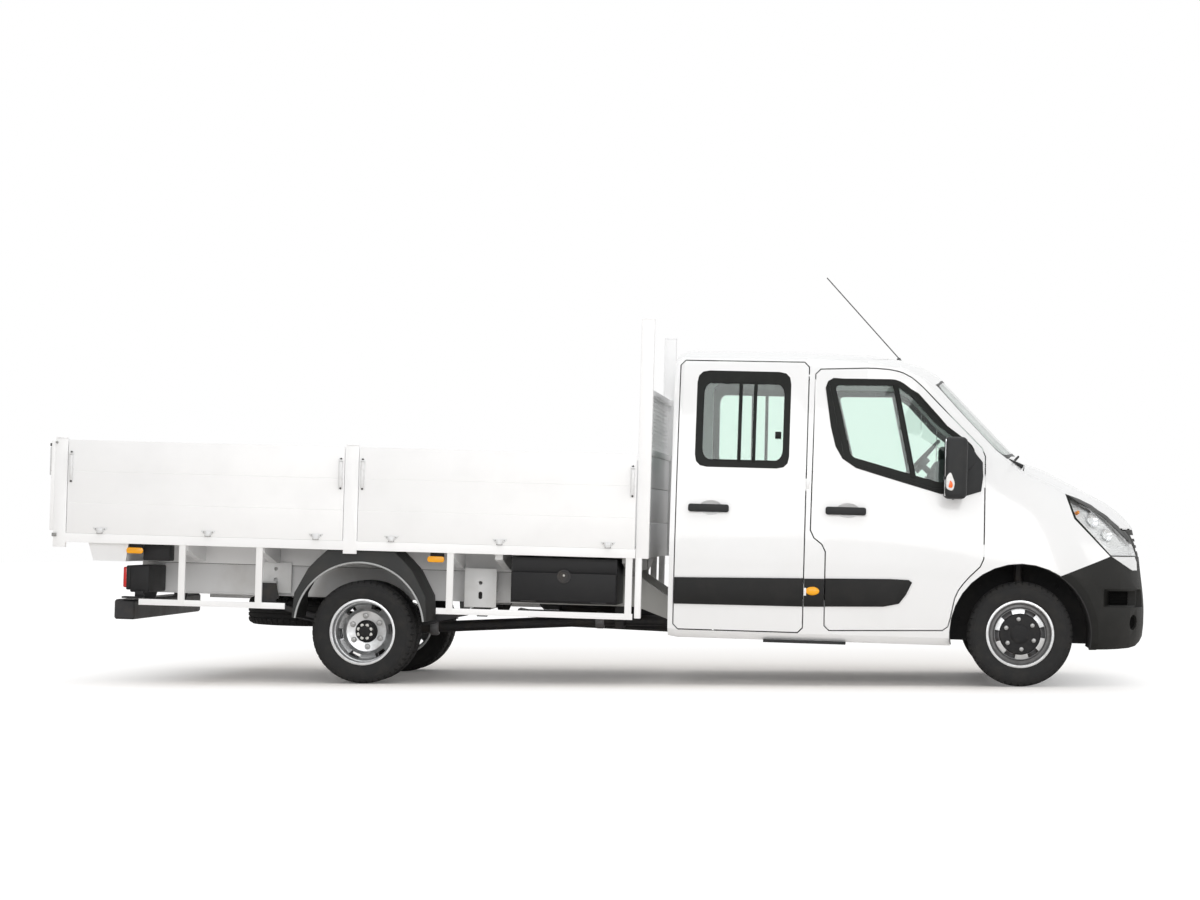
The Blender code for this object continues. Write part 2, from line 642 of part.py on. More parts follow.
def make_tray():
    deck_y = TRAY_HALF - RAVE_WIDTH - FIT
    deck = block((TRAY_REAR, TRAY_FRONT), (-deck_y, deck_y), (DECK_BOTTOM, DECK_TOP))
    low, high = RAIL_Y - 0.025, RAIL_Y + 0.045
    inner = high - 0.01
    for side in (-1, 1):
        deck = join(deck, block((TRAY_REAR + 0.22, TRAY_FRONT - 0.03), sorted((side * low, side * high)),
                                (RAIL_TOP + FIT, DECK_BOTTOM + 0.01)))
        for x in OUTRIGGERS:
            arm = [(side * inner, DECK_BOTTOM + 0.02), (side * inner, RAIL_TOP + 0.015),
                   (side * (inner + 0.10), RAIL_TOP + 0.015), (side * (deck_y - 0.03), DECK_BOTTOM - 0.035),
                   (side * (deck_y - 0.03), DECK_BOTTOM + 0.02)]
            deck = join(deck, plate(arm, (x - 0.025, x + 0.025), "X"))
    valance = [(-1.88, DECK_BOTTOM + 0.01), (-1.84, RAIL_TOP + 0.005), (-1.62, RAIL_TOP + 0.005),
               (-1.60, DECK_BOTTOM + 0.01)]
    deck = join(deck, plate(valance, (-deck_y + 0.02, deck_y - 0.02)))
    for x in OUTRIGGERS:
        deck = join(deck, block((x - 0.03, x + 0.03), (-RAIL_Y, RAIL_Y), (RAIL_TOP + 0.03, DECK_BOTTOM + 0.01)))
    part(deck, "tray_floor", "white_alloy")
    rave_in = TRAY_HALF - RAVE_WIDTH
    for side, label in ((-1, "right"), (1, "left")):
        def across(inner_y, outer_y):
            return sorted((side * inner_y, side * outer_y))
        rave = block((TRAY_REAR, TRAY_FRONT), across(rave_in, TRAY_HALF), (DECK_BOTTOM, DECK_TOP))
        for (rear, front), low in ((REAR_POST, 0.850), (CENTRE_POST, 0.861)):
            rave = join(rave, block((rear, front), across(TRAY_HALF - SIDE_THICK, TRAY_HALF), (low, POST_TOP)))
        for x in GUARD_POSTS:
            rave = join(rave, block((x - 0.022, x + 0.022), across(rave_in + 0.002, GUARD_Y),
                                    (GUARD_LOW + 0.01, DECK_BOTTOM + 0.03)))
        for rear, front in GUARD_RAILS:
            rave = join(rave, block((rear, front), across(rave_in + 0.004, GUARD_Y - 0.002),
                                    (GUARD_LOW, GUARD_HIGH)))
        part(rave, f"tray_side_{label}", "white_alloy")
        hinge_y = side * (TRAY_HALF + SIDE_HINGE_OUT)
        for place, (rear, front) in DROPSIDES:
            pivot = (0.5 * (rear + front), hinge_y, DECK_TOP)
            panel = block((rear + DROPSIDE_GAP, front - DROPSIDE_GAP), across(TRAY_HALF - SIDE_THICK, TRAY_HALF),
                          (DECK_TOP + FIT, SIDE_TOP))
            for groove in SIDE_GROOVES:
                panel = cut(panel, block((rear, front), across(TRAY_HALF - 0.003, TRAY_HALF + 0.01),
                                         (groove, groove + 0.008)))
            for x in (rear + 0.045, front - 0.045):
                panel = join(panel, block((x - 0.012, x + 0.012), across(TRAY_HALF - 0.01, TRAY_HALF + 0.022),
                                          (1.29, 1.49)))
            for x in [rear + (front - rear) * share for share in (0.12, 0.50, 0.88)]:
                strap = [(side * (TRAY_HALF - 0.01), DECK_TOP + 0.07), (side * (TRAY_HALF + 0.004), DECK_TOP + 0.07),
                         (side * (TRAY_HALF + 0.022), DECK_TOP + 0.012),
                         (side * (TRAY_HALF + 0.022), DECK_TOP + 0.003),
                         (side * (TRAY_HALF - 0.01), DECK_TOP + 0.003)]
                panel = join(panel, plate(strap, (x - 0.045, x + 0.045), "X"))
            part(panel, f"dropside_{place}_{label}", "white_alloy", pivot)
    gate = block((TAIL_X + 0.020, TRAY_REAR - FIT), (-TRAY_HALF + 0.002, TRAY_HALF - 0.002), (0.960, 1.560))
    for groove in SIDE_GROOVES:
        gate = cut(gate, block((TAIL_X - 0.01, TAIL_X + 0.023), (-1.2, 1.2), (groove, groove + 0.008)))
    for y in (-0.80, 0.0, 0.80):
        gate = join(gate, block((TAIL_X, TAIL_X + 0.03), (y - 0.05, y + 0.05), (0.962, 1.03)))
    part(gate, "tailgate", "white_alloy", (TAIL_X - 0.012, 0.0, 0.955))


GUARD_POSTS = (-1.223, -0.700, 0.584, 1.770)
GUARD_RAILS = ((-1.510, -0.520), (0.497, 1.800))
DROPSIDES = (("rear", (REAR_POST[1], CENTRE_POST[0])), ("front", (CENTRE_POST[1], TRAY_FRONT)))
SIDE_GROOVES = (1.145, 1.355)


def make_headboard():
    rear, front = HEAD_POST
    board = None
    for side in (-1, 1):
        post = block((rear, front), sorted(side * y for y in HEAD_POST_Y), (GUARD_LOW + 0.01, HEAD_TOP))
        board = join(board, post) if board else post
    wide = (-HEAD_HALF, HEAD_HALF)
    board = join(board, block((rear + 0.02, front - 0.03), wide, (DECK_BOTTOM, HEAD_PANEL_TOP)))
    for z in (HEAD_PANEL_TOP, HEAD_MESH_TOP):
        board = join(board, block((rear + 0.01, front - 0.02), wide, (z - 0.02, z + 0.02)))
    for i in range(MESH_BARS):
        y = MESH_HALF * (2 * (i + 1) / (MESH_BARS + 1) - 1)
        board = join(board, block((rear + 0.03, front - 0.04), (y - 0.006, y + 0.006),
                                  (HEAD_PANEL_TOP, HEAD_MESH_TOP)))
    part(board, "headboard", "white_alloy")


# Lockers under the deck: the toolbox on the right and the fuel tank on the left
TOOLBOX_X = (0.985, 1.690)
TOOLBOX_LOW = 0.573
TOOLBOX_LID = 0.776
LOCKER_INNER_Y = RAIL_Y + RAIL_THICK + 0.030
TANK_X = (1.00, 1.68)
TANK_LOW = 0.480


def make_toolbox():
    rear, front = TOOLBOX_X
    low, high = TOOLBOX_LOW, LOCKER_TOP
    outer, inner = TRAY_HALF - 0.075, LOCKER_INNER_Y
    box = block((rear, front), (-outer, -inner), (low, high))
    box = cut(box, block((rear + 0.02, front - 0.02), (-outer - 0.1, -inner - 0.02), (low + 0.03, TOOLBOX_LID - 0.004)))
    box = join(box, block((rear + 0.10, rear + 0.16), (-inner - 0.01, -RAIL_Y - 0.03 - FIT), (0.60, 0.74)))
    box = join(box, block((front - 0.16, front - 0.10), (-inner - 0.01, -RAIL_Y - 0.03 - FIT), (0.60, 0.74)))
    part(box, "toolbox", "black_plastic")
    lid = block((rear + 0.004, front - 0.004), (-outer - 0.018, -outer - FIT), (low + 0.012, TOOLBOX_LID))
    middle, lock_z = 0.5 * (rear + front), TOOLBOX_LID - 0.024
    lid = join(lid, rod((middle, -outer - 0.01, lock_z), (middle, -outer - 0.030, lock_z), 0.022, 16))
    part(lid, "toolbox_door", "black_plastic", (middle, -outer - 0.022, low + 0.008))


# Mudguard: centre and radius of the wheel cut-out, sheet, span across the truck, and half of its faceted
# outline from the foot to the flat top, as x from the centre and height over the foot
MUDGUARD_CENTRE = (-0.020, 0.370)
MUDGUARD_ROUND = 0.440
MUDGUARD_SHEET = 0.008
MUDGUARD_SPAN = (RAIL_Y + RAIL_THICK / 2 + 0.125, TRAY_HALF - 0.028)
MUDGUARD_FOOT = 0.425
MUDGUARD_OUTLINE = ((0.452, 0.0), (0.440, 0.165), (0.350, 0.332), (0.290, 0.397))
MUDGUARD_TOP_HALF = 0.222


def mudguard_outline(inset, foot):
    half = [(x - inset, MUDGUARD_FOOT + rise) for x, rise in MUDGUARD_OUTLINE]
    half[0] = (half[0][0], foot)
    half.append((MUDGUARD_TOP_HALF, DECK_BOTTOM - FIT - inset))
    middle = MUDGUARD_CENTRE[0]
    return [(middle + x, z) for x, z in half] + [(middle - x, z) for x, z in reversed(half)]


def make_mudguards():
    """Faceted guards over the twin wheels, with a closed outer face round the wheel cut-out."""
    low, high = MUDGUARD_SPAN
    x, z = MUDGUARD_CENTRE
    for side, label in ((-1, "right"), (1, "left")):
        guard = plate(mudguard_outline(0.0, MUDGUARD_FOOT), sorted((side * low, side * high)))
        hollow = plate(mudguard_outline(MUDGUARD_SHEET, MUDGUARD_FOOT - 0.05),
                       sorted((side * (low - 0.05), side * (high - MUDGUARD_SHEET))))
        opening = rod((x, side * (low - 0.1), z), (x, side * (high + 0.1), z), MUDGUARD_ROUND, 48)
        part(cut(guard, hollow, opening), f"mudguard_{label}", "black_plastic")


def tyre_profile():
    """Radius and offset points round a tyre's section."""
    half = TYRE_WIDTH / 2
    bead = RIM_RADIUS - 0.004
    outer_half = [(bead, half * 0.66), (bead + 0.030, half * 0.86), (TYRE_RADIUS - 0.060, half),
                  (TYRE_RADIUS - 0.014, half * 0.88), (TYRE_RADIUS, half * 0.64)]
    return outer_half + [(radius, -offset) for radius, offset in reversed(outer_half)]


def rim_profile(dish, face, disc=0.012):
    """A steel wheel: rim barrel and disc. The dish is where the disc meets the barrel."""
    half = RIM_WIDTH / 2
    outer = RIM_RADIUS - 0.005
    barrel = outer - 0.012
    flat = barrel - 0.075
    return [
        (outer, -half * 0.80), (outer, half * 0.80), (outer + 0.010, half), (barrel, half),
        (barrel - 0.006, dish + disc), (flat, face + disc), (STUB_RADIUS, face + disc),
        (STUB_RADIUS, face), (flat, face), (barrel - 0.006, dish), (barrel, -half), (outer + 0.010, -half)]


def twin_rim_profile():
    """Two rims bolted back to back: their discs meet midway between the tyres."""
    half = RIM_WIDTH / 2
    outer = RIM_RADIUS - 0.005
    barrel = outer - 0.012
    middle = DUAL_SPACING / 2
    one = [
        (barrel - 0.075, 0.010), (barrel - 0.010, middle - half * 0.45), (barrel, middle + half),
        (outer + 0.010, middle + half),
        (outer, middle + half * 0.80), (outer, middle - half * 0.80), (outer + 0.010, middle - half),
        (barrel - 0.004, middle - half), (barrel - 0.055, 0.0)]
    disc = [(STUB_RADIUS, -0.010), (STUB_RADIUS, 0.010)]
    return disc + one + [(radius, -offset) for radius, offset in reversed(one[:-1])]


def spare_profile():
    """The spare wheel as one closed shape: tyre and dished disc."""
    half = TYRE_WIDTH / 2
    flat, under = RIM_RADIUS - 0.062, -0.004
    return [(0.030, SPARE_DISC), (flat, SPARE_DISC), (RIM_RADIUS - 0.027, 0.060), (RIM_RADIUS, half * 0.80),
            (TYRE_RADIUS - 0.060, half), (TYRE_RADIUS - 0.010, half * 0.86), (TYRE_RADIUS - 0.010, -half * 0.86),
            (TYRE_RADIUS - 0.060, -half), (RIM_RADIUS, -half * 0.80), (RIM_RADIUS - 0.032, -0.050),
            (flat, under), (0.030, under)]


def make_wheels():
    centre_y = FRONT_TRACK / 2
    for side, label in ((-1, "right"), (1, "left")):
        centre = (WHEELBASE, side * centre_y, TYRE_RADIUS)
        part(turned(tyre_profile(), centre, WHEEL_STEPS), f"tyre_front_{label}", "tyre_rubber", centre, ground)
        face = [(r, side * y) for r, y in rim_profile(0.030, 0.048)]
        part(turned(face, centre, WHEEL_STEPS), f"rim_front_{label}", "silver_wheel", centre, ground)
    for side, label in ((-1, "right"), (1, "left")):
        pivot = (0.0, side * REAR_TRACK / 2, TYRE_RADIUS)
        for place, step in (("outer", DUAL_SPACING / 2), ("inner", -DUAL_SPACING / 2)):
            centre = (0.0, side * (REAR_TRACK / 2 + step), TYRE_RADIUS)
            part(turned(tyre_profile(), centre, WHEEL_STEPS), f"tyre_rear_{place}_{label}", "tyre_rubber",
                 pivot, ground)
        part(turned(twin_rim_profile(), pivot, WHEEL_STEPS), f"rim_rear_{label}", "silver_wheel", pivot, ground)
    x, z = SPARE_CENTRE
    part(turned(spare_profile(), (x, 0, z), SPARE_STEPS, "Z"), "spare_wheel", "tyre_rubber")


def make_front_axle():
    x = WHEELBASE
    z = TYRE_RADIUS
    outer = KINGPIN_Y + KNUCKLE_HALF
    for side, label in ((-1, "right"), (1, "left")):
        kingpin = (x, side * KINGPIN_Y, z)
        upright = block((x - 0.03, x + 0.03), sorted((side * (KINGPIN_Y - KNUCKLE_HALF), side * outer)),
                        (z - 0.100, z + 0.100))
        stub = rod((x, side * KINGPIN_Y, z), (x, side * (FRONT_TRACK / 2 + 0.050), z), STUB_RADIUS - 0.0005,
                   WHEEL_STEPS)
        drum = rod((x, side * (outer - 0.010), z), (x, side * (FRONT_TRACK / 2 + 0.040), z), 0.075, 24)
        part(join(upright, stub, drum), f"knuckle_{label}", "cast_metal", kingpin, ground)
    low, high = RAIL_Y - RAIL_THICK / 2, RAIL_Y + RAIL_THICK / 2
    beam = block((x - 0.05, x + 0.05), (-low - 0.02, low + 0.02), (z - 0.140, z - 0.060))
    for side in (-1, 1):
        arm = block((x - 0.03, x + 0.03), sorted((side * low, side * outer)), (z - 0.130, z - 0.100 - FIT))
        y = side * STRUT_Y
        strut = rod((x, y, z + 0.110), (x, y, z + ARCH_RADIUS - 0.006), 0.028)
        upper = block((x - 0.03, x + 0.03), sorted((side * (STRUT_Y - 0.040), side * outer)),
                      (z + 0.100 + FIT, z + 0.125))
        link = rod((x, y, z - 0.115), (x, y, z + 0.115), 0.018)
        riser = block((x - 0.03, x + 0.03), sorted((side * low, side * high)),
                      (z - 0.120, raked_height(x + 0.03, CAB_RAIL_BOTTOM) - 2 * FIT))
        beam = join(beam, arm, strut, upper, link, riser)
    part(beam, "front_suspension", "black_steel", frame=ground)


def make_rear_axle():
    z = TYRE_RADIUS
    stub, casing = REAR_TRACK / 2 + 0.054, REAR_TRACK / 2 - 0.026
    axle = rod((0, -stub, z), (0, stub, z), STUB_RADIUS - 0.0005, WHEEL_STEPS)
    axle = join(axle, rod((0, -casing, z), (0, casing, z), 0.055, 16))
    axle = join(axle, turned([(0.02, -0.15), (0.10, -0.14), (0.155, -0.08), (0.165, 0.0), (0.155, 0.08),
                              (0.10, 0.14), (0.02, 0.15)], (0, 0, z), 16))
    axle = join(axle, rod((0.10, 0, z), (0.30, 0, z + 0.006), 0.060, 16, 0.045))
    reach = abs(SPRING_ENDS[0])
    steps = 8
    top = []
    seat = z + 0.060
    for i in range(steps + 1):
        x = -reach + 2 * reach * i / steps
        end = raked_height(math.copysign(reach, x), SPRING_EYE_Z + 0.030) - 2 * FIT
        top.append((x, seat + (end - seat) * (x / reach) ** 2))
    leaf = top + [(x, height - 0.034) for x, height in reversed(top)]
    for side in (-1, 1):
        low, high = SPRING_Y - SPRING_WIDTH / 2 + 0.004, SPRING_Y + SPRING_WIDTH / 2
        axle = join(axle, plate(leaf, sorted((side * low, side * high))))
    part(axle, "rear_axle", "black_steel", frame=ground)


ENGINE_TOP = 1.180


def make_driveline():
    start = (0.305, 0.0, 0.352)
    shaft = rod(start, (1.55, 0, 0.440), 0.038, 16)
    shaft = join(shaft, rod((1.50, 0, 0.4365), (3.15, 0, 0.470), 0.036, 16))
    shaft = join(shaft, block((1.60, CROSS_MEMBERS[3] - 0.04 - FIT), (-0.09, 0.09), (0.39, 0.64)))
    part(shaft, "propshaft", "black_steel")
    engine = block((FIREWALL_X + 0.12, FIREWALL_X + 0.80), (-0.30, 0.30), (0.480, ENGINE_TOP), 0.03)
    engine = join(engine, block((3.16, 4.10), (-0.17, 0.17), (0.420, 0.640 - 0.045), 0.02))
    radiator = block((4.820, 4.870), (-0.38, 0.38), (0.480, 1.080))
    shroud = block((4.60, 4.84), (-0.24, 0.24), (0.560, 1.040))
    engine = join(engine, shroud, radiator)
    for side in (-1, 1):
        engine = join(engine, block((4.20, 4.30), sorted((side * 0.28, side * (RAIL_Y - RAIL_THICK / 2 - FIT))),
                                    (0.500, 0.560)))
    part(engine, "engine", "cast_metal")
    exhaust = tube([(3.95, 0.26, 0.50), (3.70, 0.26, 0.40), (2.30, 0.26, 0.40), (2.20, 0.26, 0.44)], 0.028)
    exhaust = join(exhaust, rod((2.25, 0.26, 0.44), (1.20, 0.26, 0.46), 0.085, 20))
    exhaust = join(exhaust, tube([(1.25, 0.26, 0.46), (0.95, 0.30, 0.46), (0.86, 0.60, 0.46)], 0.028))
    hanger_x = CROSS_MEMBERS[3]
    exhaust = join(exhaust, block((hanger_x - 0.02, hanger_x + 0.02), (0.25, 0.27),
                                  (0.52, RAIL_BOTTOM + 0.04 - FIT)))
    part(exhaust, "exhaust", "black_steel")
    rear, front = TANK_X
    tank = block((rear, front), (LOCKER_INNER_Y, TRAY_HALF - 0.100), (TANK_LOW, LOCKER_TOP), 0.03)
    for x in (rear + 0.175, front - 0.105):
        strap = (RAIL_Y + RAIL_THICK / 2 + FIT, LOCKER_INNER_Y + 0.04)
        tank = join(tank, block((x - 0.025, x + 0.025), strap, (0.60, 0.74)))
    part(tank, "fuel_tank", "black_plastic")


def make_rear_end():
    half = TRAY_HALF - 0.110
    beam = block((-1.700, -1.560), (-half, half), (0.376, 0.509), 0.012)
    for side in (-1, 1):
        arm = [(-1.640, 0.45), (-1.560, 0.45), (-1.480, RAIL_TOP - 0.03), (-1.640, RAIL_TOP - 0.03)]
        span = sorted((side * (RAIL_Y + RAIL_THICK / 2 + FIT), side * (RAIL_Y + RAIL_THICK / 2 + 0.012)))
        beam = join(beam, plate(arm, span))
    part(beam, "underrun_bar", "black_steel")
    for side, label in ((-1, "right"), (1, "left")):
        span = sorted((side * (RAIL_Y + RAIL_THICK / 2 + 0.012 + FIT), side * (half - 0.010)))
        lamp = block((-1.600, -1.470), span, (0.560, 0.740))
        lamp = join(lamp, block((-1.650, -1.590), sorted((side * 0.600, side * (half - 0.015))),
                                (0.590, 0.735), 0.01))
        part(lamp, f"tail_lamp_{label}", "red_lens")


# Dashboard seen from the side: x, z
DASH = ((3.8597, 0.950), (3.8597, SCUTTLE_Z + FIT), (4.270, SCUTTLE_Z + FIT), (4.270, 1.525), (3.900, 1.560),
        (3.800, 1.595), (3.745, 1.565), (3.765, 1.400), (3.770, 1.150), (3.790, 0.950))
STEERING_CENTRE = (3.650, -0.420, 1.580)
STEERING_TILT = math.radians(42.6)


def make_inside():
    dash = plate(DASH, (-0.90, 0.90))
    dash = keep(dash, cab_form(DOOR_THICK + 0.02))
    column = Vector(STEERING_CENTRE)
    along = Vector((-math.cos(STEERING_TILT), 0.0, math.sin(STEERING_TILT)))
    shroud = rod(column - along * 0.22, column - along * 0.10, 0.050, 12)
    part(join(dash, shroud), "dashboard", "dark_trim")
    tilt = STEERING_TILT
    ring = turned([(0.190 + 0.014 * math.cos(a), 0.014 * math.sin(a))
                   for a in [2 * math.pi * i / 6 for i in range(6)]], (0, 0, 0), 24, "Z")
    hub = rod((0, 0, -0.05), (0, 0, 0.012), 0.060, 16)
    wheel = join(ring, hub)
    for angle in (90, 210, 330):
        a = math.radians(angle)
        wheel = join(wheel, rod((0.03 * math.sin(a), 0.03 * math.cos(a), -0.01),
                                (0.192 * math.sin(a), 0.192 * math.cos(a), 0.0), 0.011, 8))
    wheel = join(wheel, rod((0, 0, -0.10 + FIT), (0, 0, -0.03), 0.020, 12))
    wheel.data.transform(Matrix.Translation(column) @ Matrix.Rotation(-(math.pi / 2 - tilt), 4, "Y"))
    part(wheel, "steering_wheel", "dark_trim", column)
    place_seats("front_seats", 3.180, (("driver", -0.440, 0.48), ("pair", 0.330, 0.90)))
    place_seats("rear_bench", 2.420, (("bench", 0.0, 1.50),))


def place_seats(name, x, seats):
    """A row of seats on one plinth: cushion, raked back and head restraints."""
    floor = CAB_FLOOR + FIT
    row = block((x - 0.18, x + 0.22), (-0.72, 0.72), (floor, floor + 0.20))
    for label, y, width in seats:
        half = width / 2
        row = join(row, block((x - 0.22, x + 0.26), (y - half, y + half), (floor + 0.19, floor + 0.33)))
        back = [(x - 0.20, floor + 0.29), (x - 0.09, floor + 0.32), (x - 0.20, floor + 0.72),
                (x - 0.28, floor + 0.72)]
        row = join(row, plate(back, (y - half, y + half)))
        count = max(1, round(width / 0.48))
        for i in range(count):
            middle = y - half + width * (i + 0.5) / count
            row = join(row, block((x - 0.30, x - 0.22), (middle - 0.12, middle + 0.12),
                                  (floor + 0.69, floor + 0.86)))
    part(row, name, "seat_cloth")


def make_mirrors():
    for side, label in ((-1, "right"), (1, "left")):
        hinge_x = max(x for x, z in FRONT_DOOR) + DOOR_GAP / 2
        hinge_y = max(row[4] for row in CAB_SECTIONS)
        head = block((3.805, 3.955), sorted((side * 1.075, side * 1.300)), (1.330, 1.730), 0.03)
        arm = rod((3.90, side * 0.930, 1.42), (3.90, side * 1.12, 1.44), 0.028, 12)
        arm = cut(arm, cab_form(-FIT))
        part(join(head, arm), f"mirror_{label}", "black_plastic", (hinge_x, side * hinge_y, ARCH_Z))


# Aerial's foot and tip: x, z
ANTENNA_FOOT = (3.515, 2.255)
ANTENNA_TIP = (2.996, 2.844)


def make_antenna():
    x, z = ANTENNA_FOOT
    mast = rod((x - 0.004, 0.0, z + 0.035), (ANTENNA_TIP[0], 0.0, ANTENNA_TIP[1]), 0.004, 8)
    foot = rod((x, 0.0, z), (x - 0.015, 0.0, z + 0.045), 0.022, 12, 0.012)
    mast = cut(join(mast, foot), cab_form(-FIT))
    part(mast, "antenna", "black_plastic")


make_frame()
make_tray()
make_headboard()
make_toolbox()
make_mudguards()
make_wheels()
make_front_axle()
make_rear_axle()
make_driveline()
make_rear_end()
make_cab()
make_bonnet()
make_front_end()
make_inside()
make_mirrors()
make_antenna()

for leftover in CUTTERS.objects:
    leftover.hide_render = True
    if leftover.type == "MESH":
        leftover.display_type = "WIRE"
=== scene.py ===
# Double-cab chassis truck with a dropside tray body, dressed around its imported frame.
import json
import math

import bpy
from mathutils import Matrix, Vector
from mathutils.bvhtree import BVHTree


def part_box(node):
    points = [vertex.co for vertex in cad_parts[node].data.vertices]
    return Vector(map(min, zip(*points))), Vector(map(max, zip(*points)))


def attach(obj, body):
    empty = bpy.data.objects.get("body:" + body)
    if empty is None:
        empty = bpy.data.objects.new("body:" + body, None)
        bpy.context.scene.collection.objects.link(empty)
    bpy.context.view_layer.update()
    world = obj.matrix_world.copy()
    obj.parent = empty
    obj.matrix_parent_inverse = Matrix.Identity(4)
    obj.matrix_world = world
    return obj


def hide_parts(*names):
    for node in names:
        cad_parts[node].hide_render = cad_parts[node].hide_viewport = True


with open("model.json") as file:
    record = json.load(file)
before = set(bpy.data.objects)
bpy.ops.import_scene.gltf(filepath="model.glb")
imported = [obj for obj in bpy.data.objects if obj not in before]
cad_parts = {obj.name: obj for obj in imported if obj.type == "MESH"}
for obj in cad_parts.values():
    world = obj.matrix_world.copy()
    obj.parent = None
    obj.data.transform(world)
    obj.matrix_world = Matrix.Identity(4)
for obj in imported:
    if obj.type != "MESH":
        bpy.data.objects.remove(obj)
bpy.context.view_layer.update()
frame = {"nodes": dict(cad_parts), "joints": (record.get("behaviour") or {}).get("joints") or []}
nodes = frame["nodes"]
joints = {joint["name"]: joint for joint in frame["joints"]}

# Stance of the truck.
# It is drawn level, x forward from the rear axle and z up from the ground; the sprung part then leans
# nose down on its springs, by the lean of its door hinges. Wheels and axles stay level.
AXLE = Vector(joints["rear_wheels_right_spin"]["pos_m"])
AXLE.y = 0.0
HINGE_LINE = Vector(joints["door_front_right_hinge"]["axis"])
LEVEL = Matrix.Translation((AXLE.x, 0.0, 0.0))
RAKED = (Matrix.Translation(AXLE) @ Matrix.Rotation(math.asin(HINGE_LINE.x), 4, "Y")
         @ Matrix.Translation((0.0, 0.0, -AXLE.z)))
SIDES = ((-1, "right"), (1, "left"))


# Ladder frame.
# Two pressed steel channel rails that kick down under the cab, with tubular cross-members, bolted body
# brackets and rows of punched holes, under a satin light grey chassis paint that gathers road dust and
# carries painted shade that deepens towards the front.
class Tone:
    """A number in a material; arithmetic on it adds Math nodes."""

    def __init__(self, finish, socket):
        self.finish, self.socket = finish, socket

    def math(self, operation, *others):
        return self.finish.node("Math", {"operation": operation}, dict(enumerate((self,) + others)))

    def __add__(self, other):
        return self.math("ADD", other)

    def __sub__(self, other):
        return self.math("SUBTRACT", other)

    def __rsub__(self, other):
        return self.finish.node("Math", {"operation": "SUBTRACT"}, {0: other, 1: self})

    def __mul__(self, other):
        return self.math("MULTIPLY", other)

    def __truediv__(self, other):
        return self.math("DIVIDE", other)

    def __gt__(self, other):
        return self.math("GREATER_THAN", other)

    __radd__ = __add__
    __rmul__ = __mul__

    def wave(self, pitch):
        """A sine of this distance, from 0 to 1, that repeats at the pitch."""
        return self.math("MULTIPLY", 2 * math.pi / pitch).math("SINE") * 0.5 + 0.5


class Finish:
    """A material on one Principled shader, whose nodes are added by type, settings and inputs."""

    def __init__(self, name, colour, roughness, metallic=0.0, **plain):
        self.material = bpy.data.materials.new(name)
        self.material.use_nodes = True
        self.tree = self.material.node_tree
        self.shader = self.tree.nodes["Principled BSDF"]
        self.colour = (*colour, 1.0)
        self.set("Base Color", self.colour)
        self.set("Roughness", roughness)
        self.set("Metallic", metallic)
        for socket, value in plain.items():
            self.set(socket.replace("_", " "), value)

    def set(self, socket, value):
        self.fill(self.shader.inputs[socket], value)

    def fill(self, socket, value):
        if isinstance(value, Tone):
            self.tree.links.new(value.socket, socket)
        else:
            socket.default_value = value

    def node(self, kind, settings=None, inputs=None, output=0):
        made = self.tree.nodes.new("ShaderNode" + kind)
        for key, value in (settings or {}).items():
            if key == "stops":
                for stop, (place, shade) in zip(made.color_ramp.elements, value):
                    stop.position, stop.color = place, (shade, shade, shade, 1.0)
            else:
                setattr(made, key, value)
        for key, value in (inputs or {}).items():
            self.fill(made.inputs[key], value)
        return Tone(self, made.outputs[output])

    def place(self):
        """The point on the piece, in metres."""
        return self.node("TexCoord", output=3)

    def axis(self, name):
        """The distance along X, Y or Z, in metres."""
        return self.node("SeparateXYZ", {}, {0: self.place()}, "XYZ".index(name))

    def noise(self, scale, detail=3.0):
        """Cloudy noise of about this many patches in a metre."""
        return self.node("TexNoise", {}, {"Vector": self.place(), "Scale": scale, "Detail": detail})

    def ramp(self, value, low, high):
        """0 below the low value, 1 above the high one."""
        return self.node("MapRange", {}, {"Value": value, "From Min": low, "From Max": high})

    def mixed(self, factor, one, other):
        """One colour at 0, the other at 1."""
        colours = [shade if isinstance(shade, Tone) else (*shade, 1.0) for shade in (one, other)]
        return self.node("Mix", {"data_type": "RGBA"}, {0: factor, 6: colours[0], 7: colours[1]}, 2)

    def worn(self, other, amount, scale, roughness=None):
        """Patches of another shade, with their own roughness."""
        patch = self.ramp(self.noise(scale, 6.0), 0.46, 0.72) * amount
        self.set("Base Color", self.mixed(patch, self.colour[:3], other))
        if roughness is not None:
            self.set("Roughness",
                     self.shader.inputs["Roughness"].default_value * (1 - patch) + roughness * patch)
        return patch

    def painted_shade_along_x(self, other, rear, front):
        """Painted shade that deepens along X, over whatever paint is there."""
        paint = Tone(self, self.shader.inputs["Base Color"].links[0].from_socket)
        self.set("Base Color", self.mixed(self.ramp(self.axis("X"), rear, front), paint, other))

    def bump(self, height, depth, strength=1.0):
        """Fine relief, this deep in metres where the height is 1."""
        self.set("Normal", self.node("Bump", {}, {"Strength": strength, "Distance": depth, "Height": height}))


def frame_paint():
    finish = Finish("frame_paint", (0.70, 0.705, 0.71), 0.48, 0.05)
    finish.worn((0.56, 0.55, 0.53), 0.55, 5.0, 0.75)
    # Painted shade: the frame paint darkens towards the front along X.
    finish.painted_shade_along_x((0.40, 0.40, 0.385), -0.85, -0.10)
    finish.bump(finish.noise(260.0), 0.0006)
    return finish


FRAME_PAINT = frame_paint()


def fresh():
    """Nothing selected, in object mode."""
    bpy.ops.object.select_all(action="DESELECT")


def only(piece):
    """Makes this piece the selected and active one."""
    fresh()
    piece.select_set(True)
    bpy.context.view_layer.objects.active = piece
    return piece


def settled():
    """The piece just added, with its place, turn and scale in its mesh."""
    bpy.ops.object.transform_apply(location=True, rotation=True, scale=True)
    return bpy.context.object


def modified(piece, kind, **settings):
    """Adds a modifier with these settings and applies it."""
    only(piece)
    step = piece.modifiers.new(kind.title(), kind)
    for key, value in settings.items():
        setattr(step, key, value)
    bpy.ops.object.modifier_apply(modifier=step.name)
    return piece


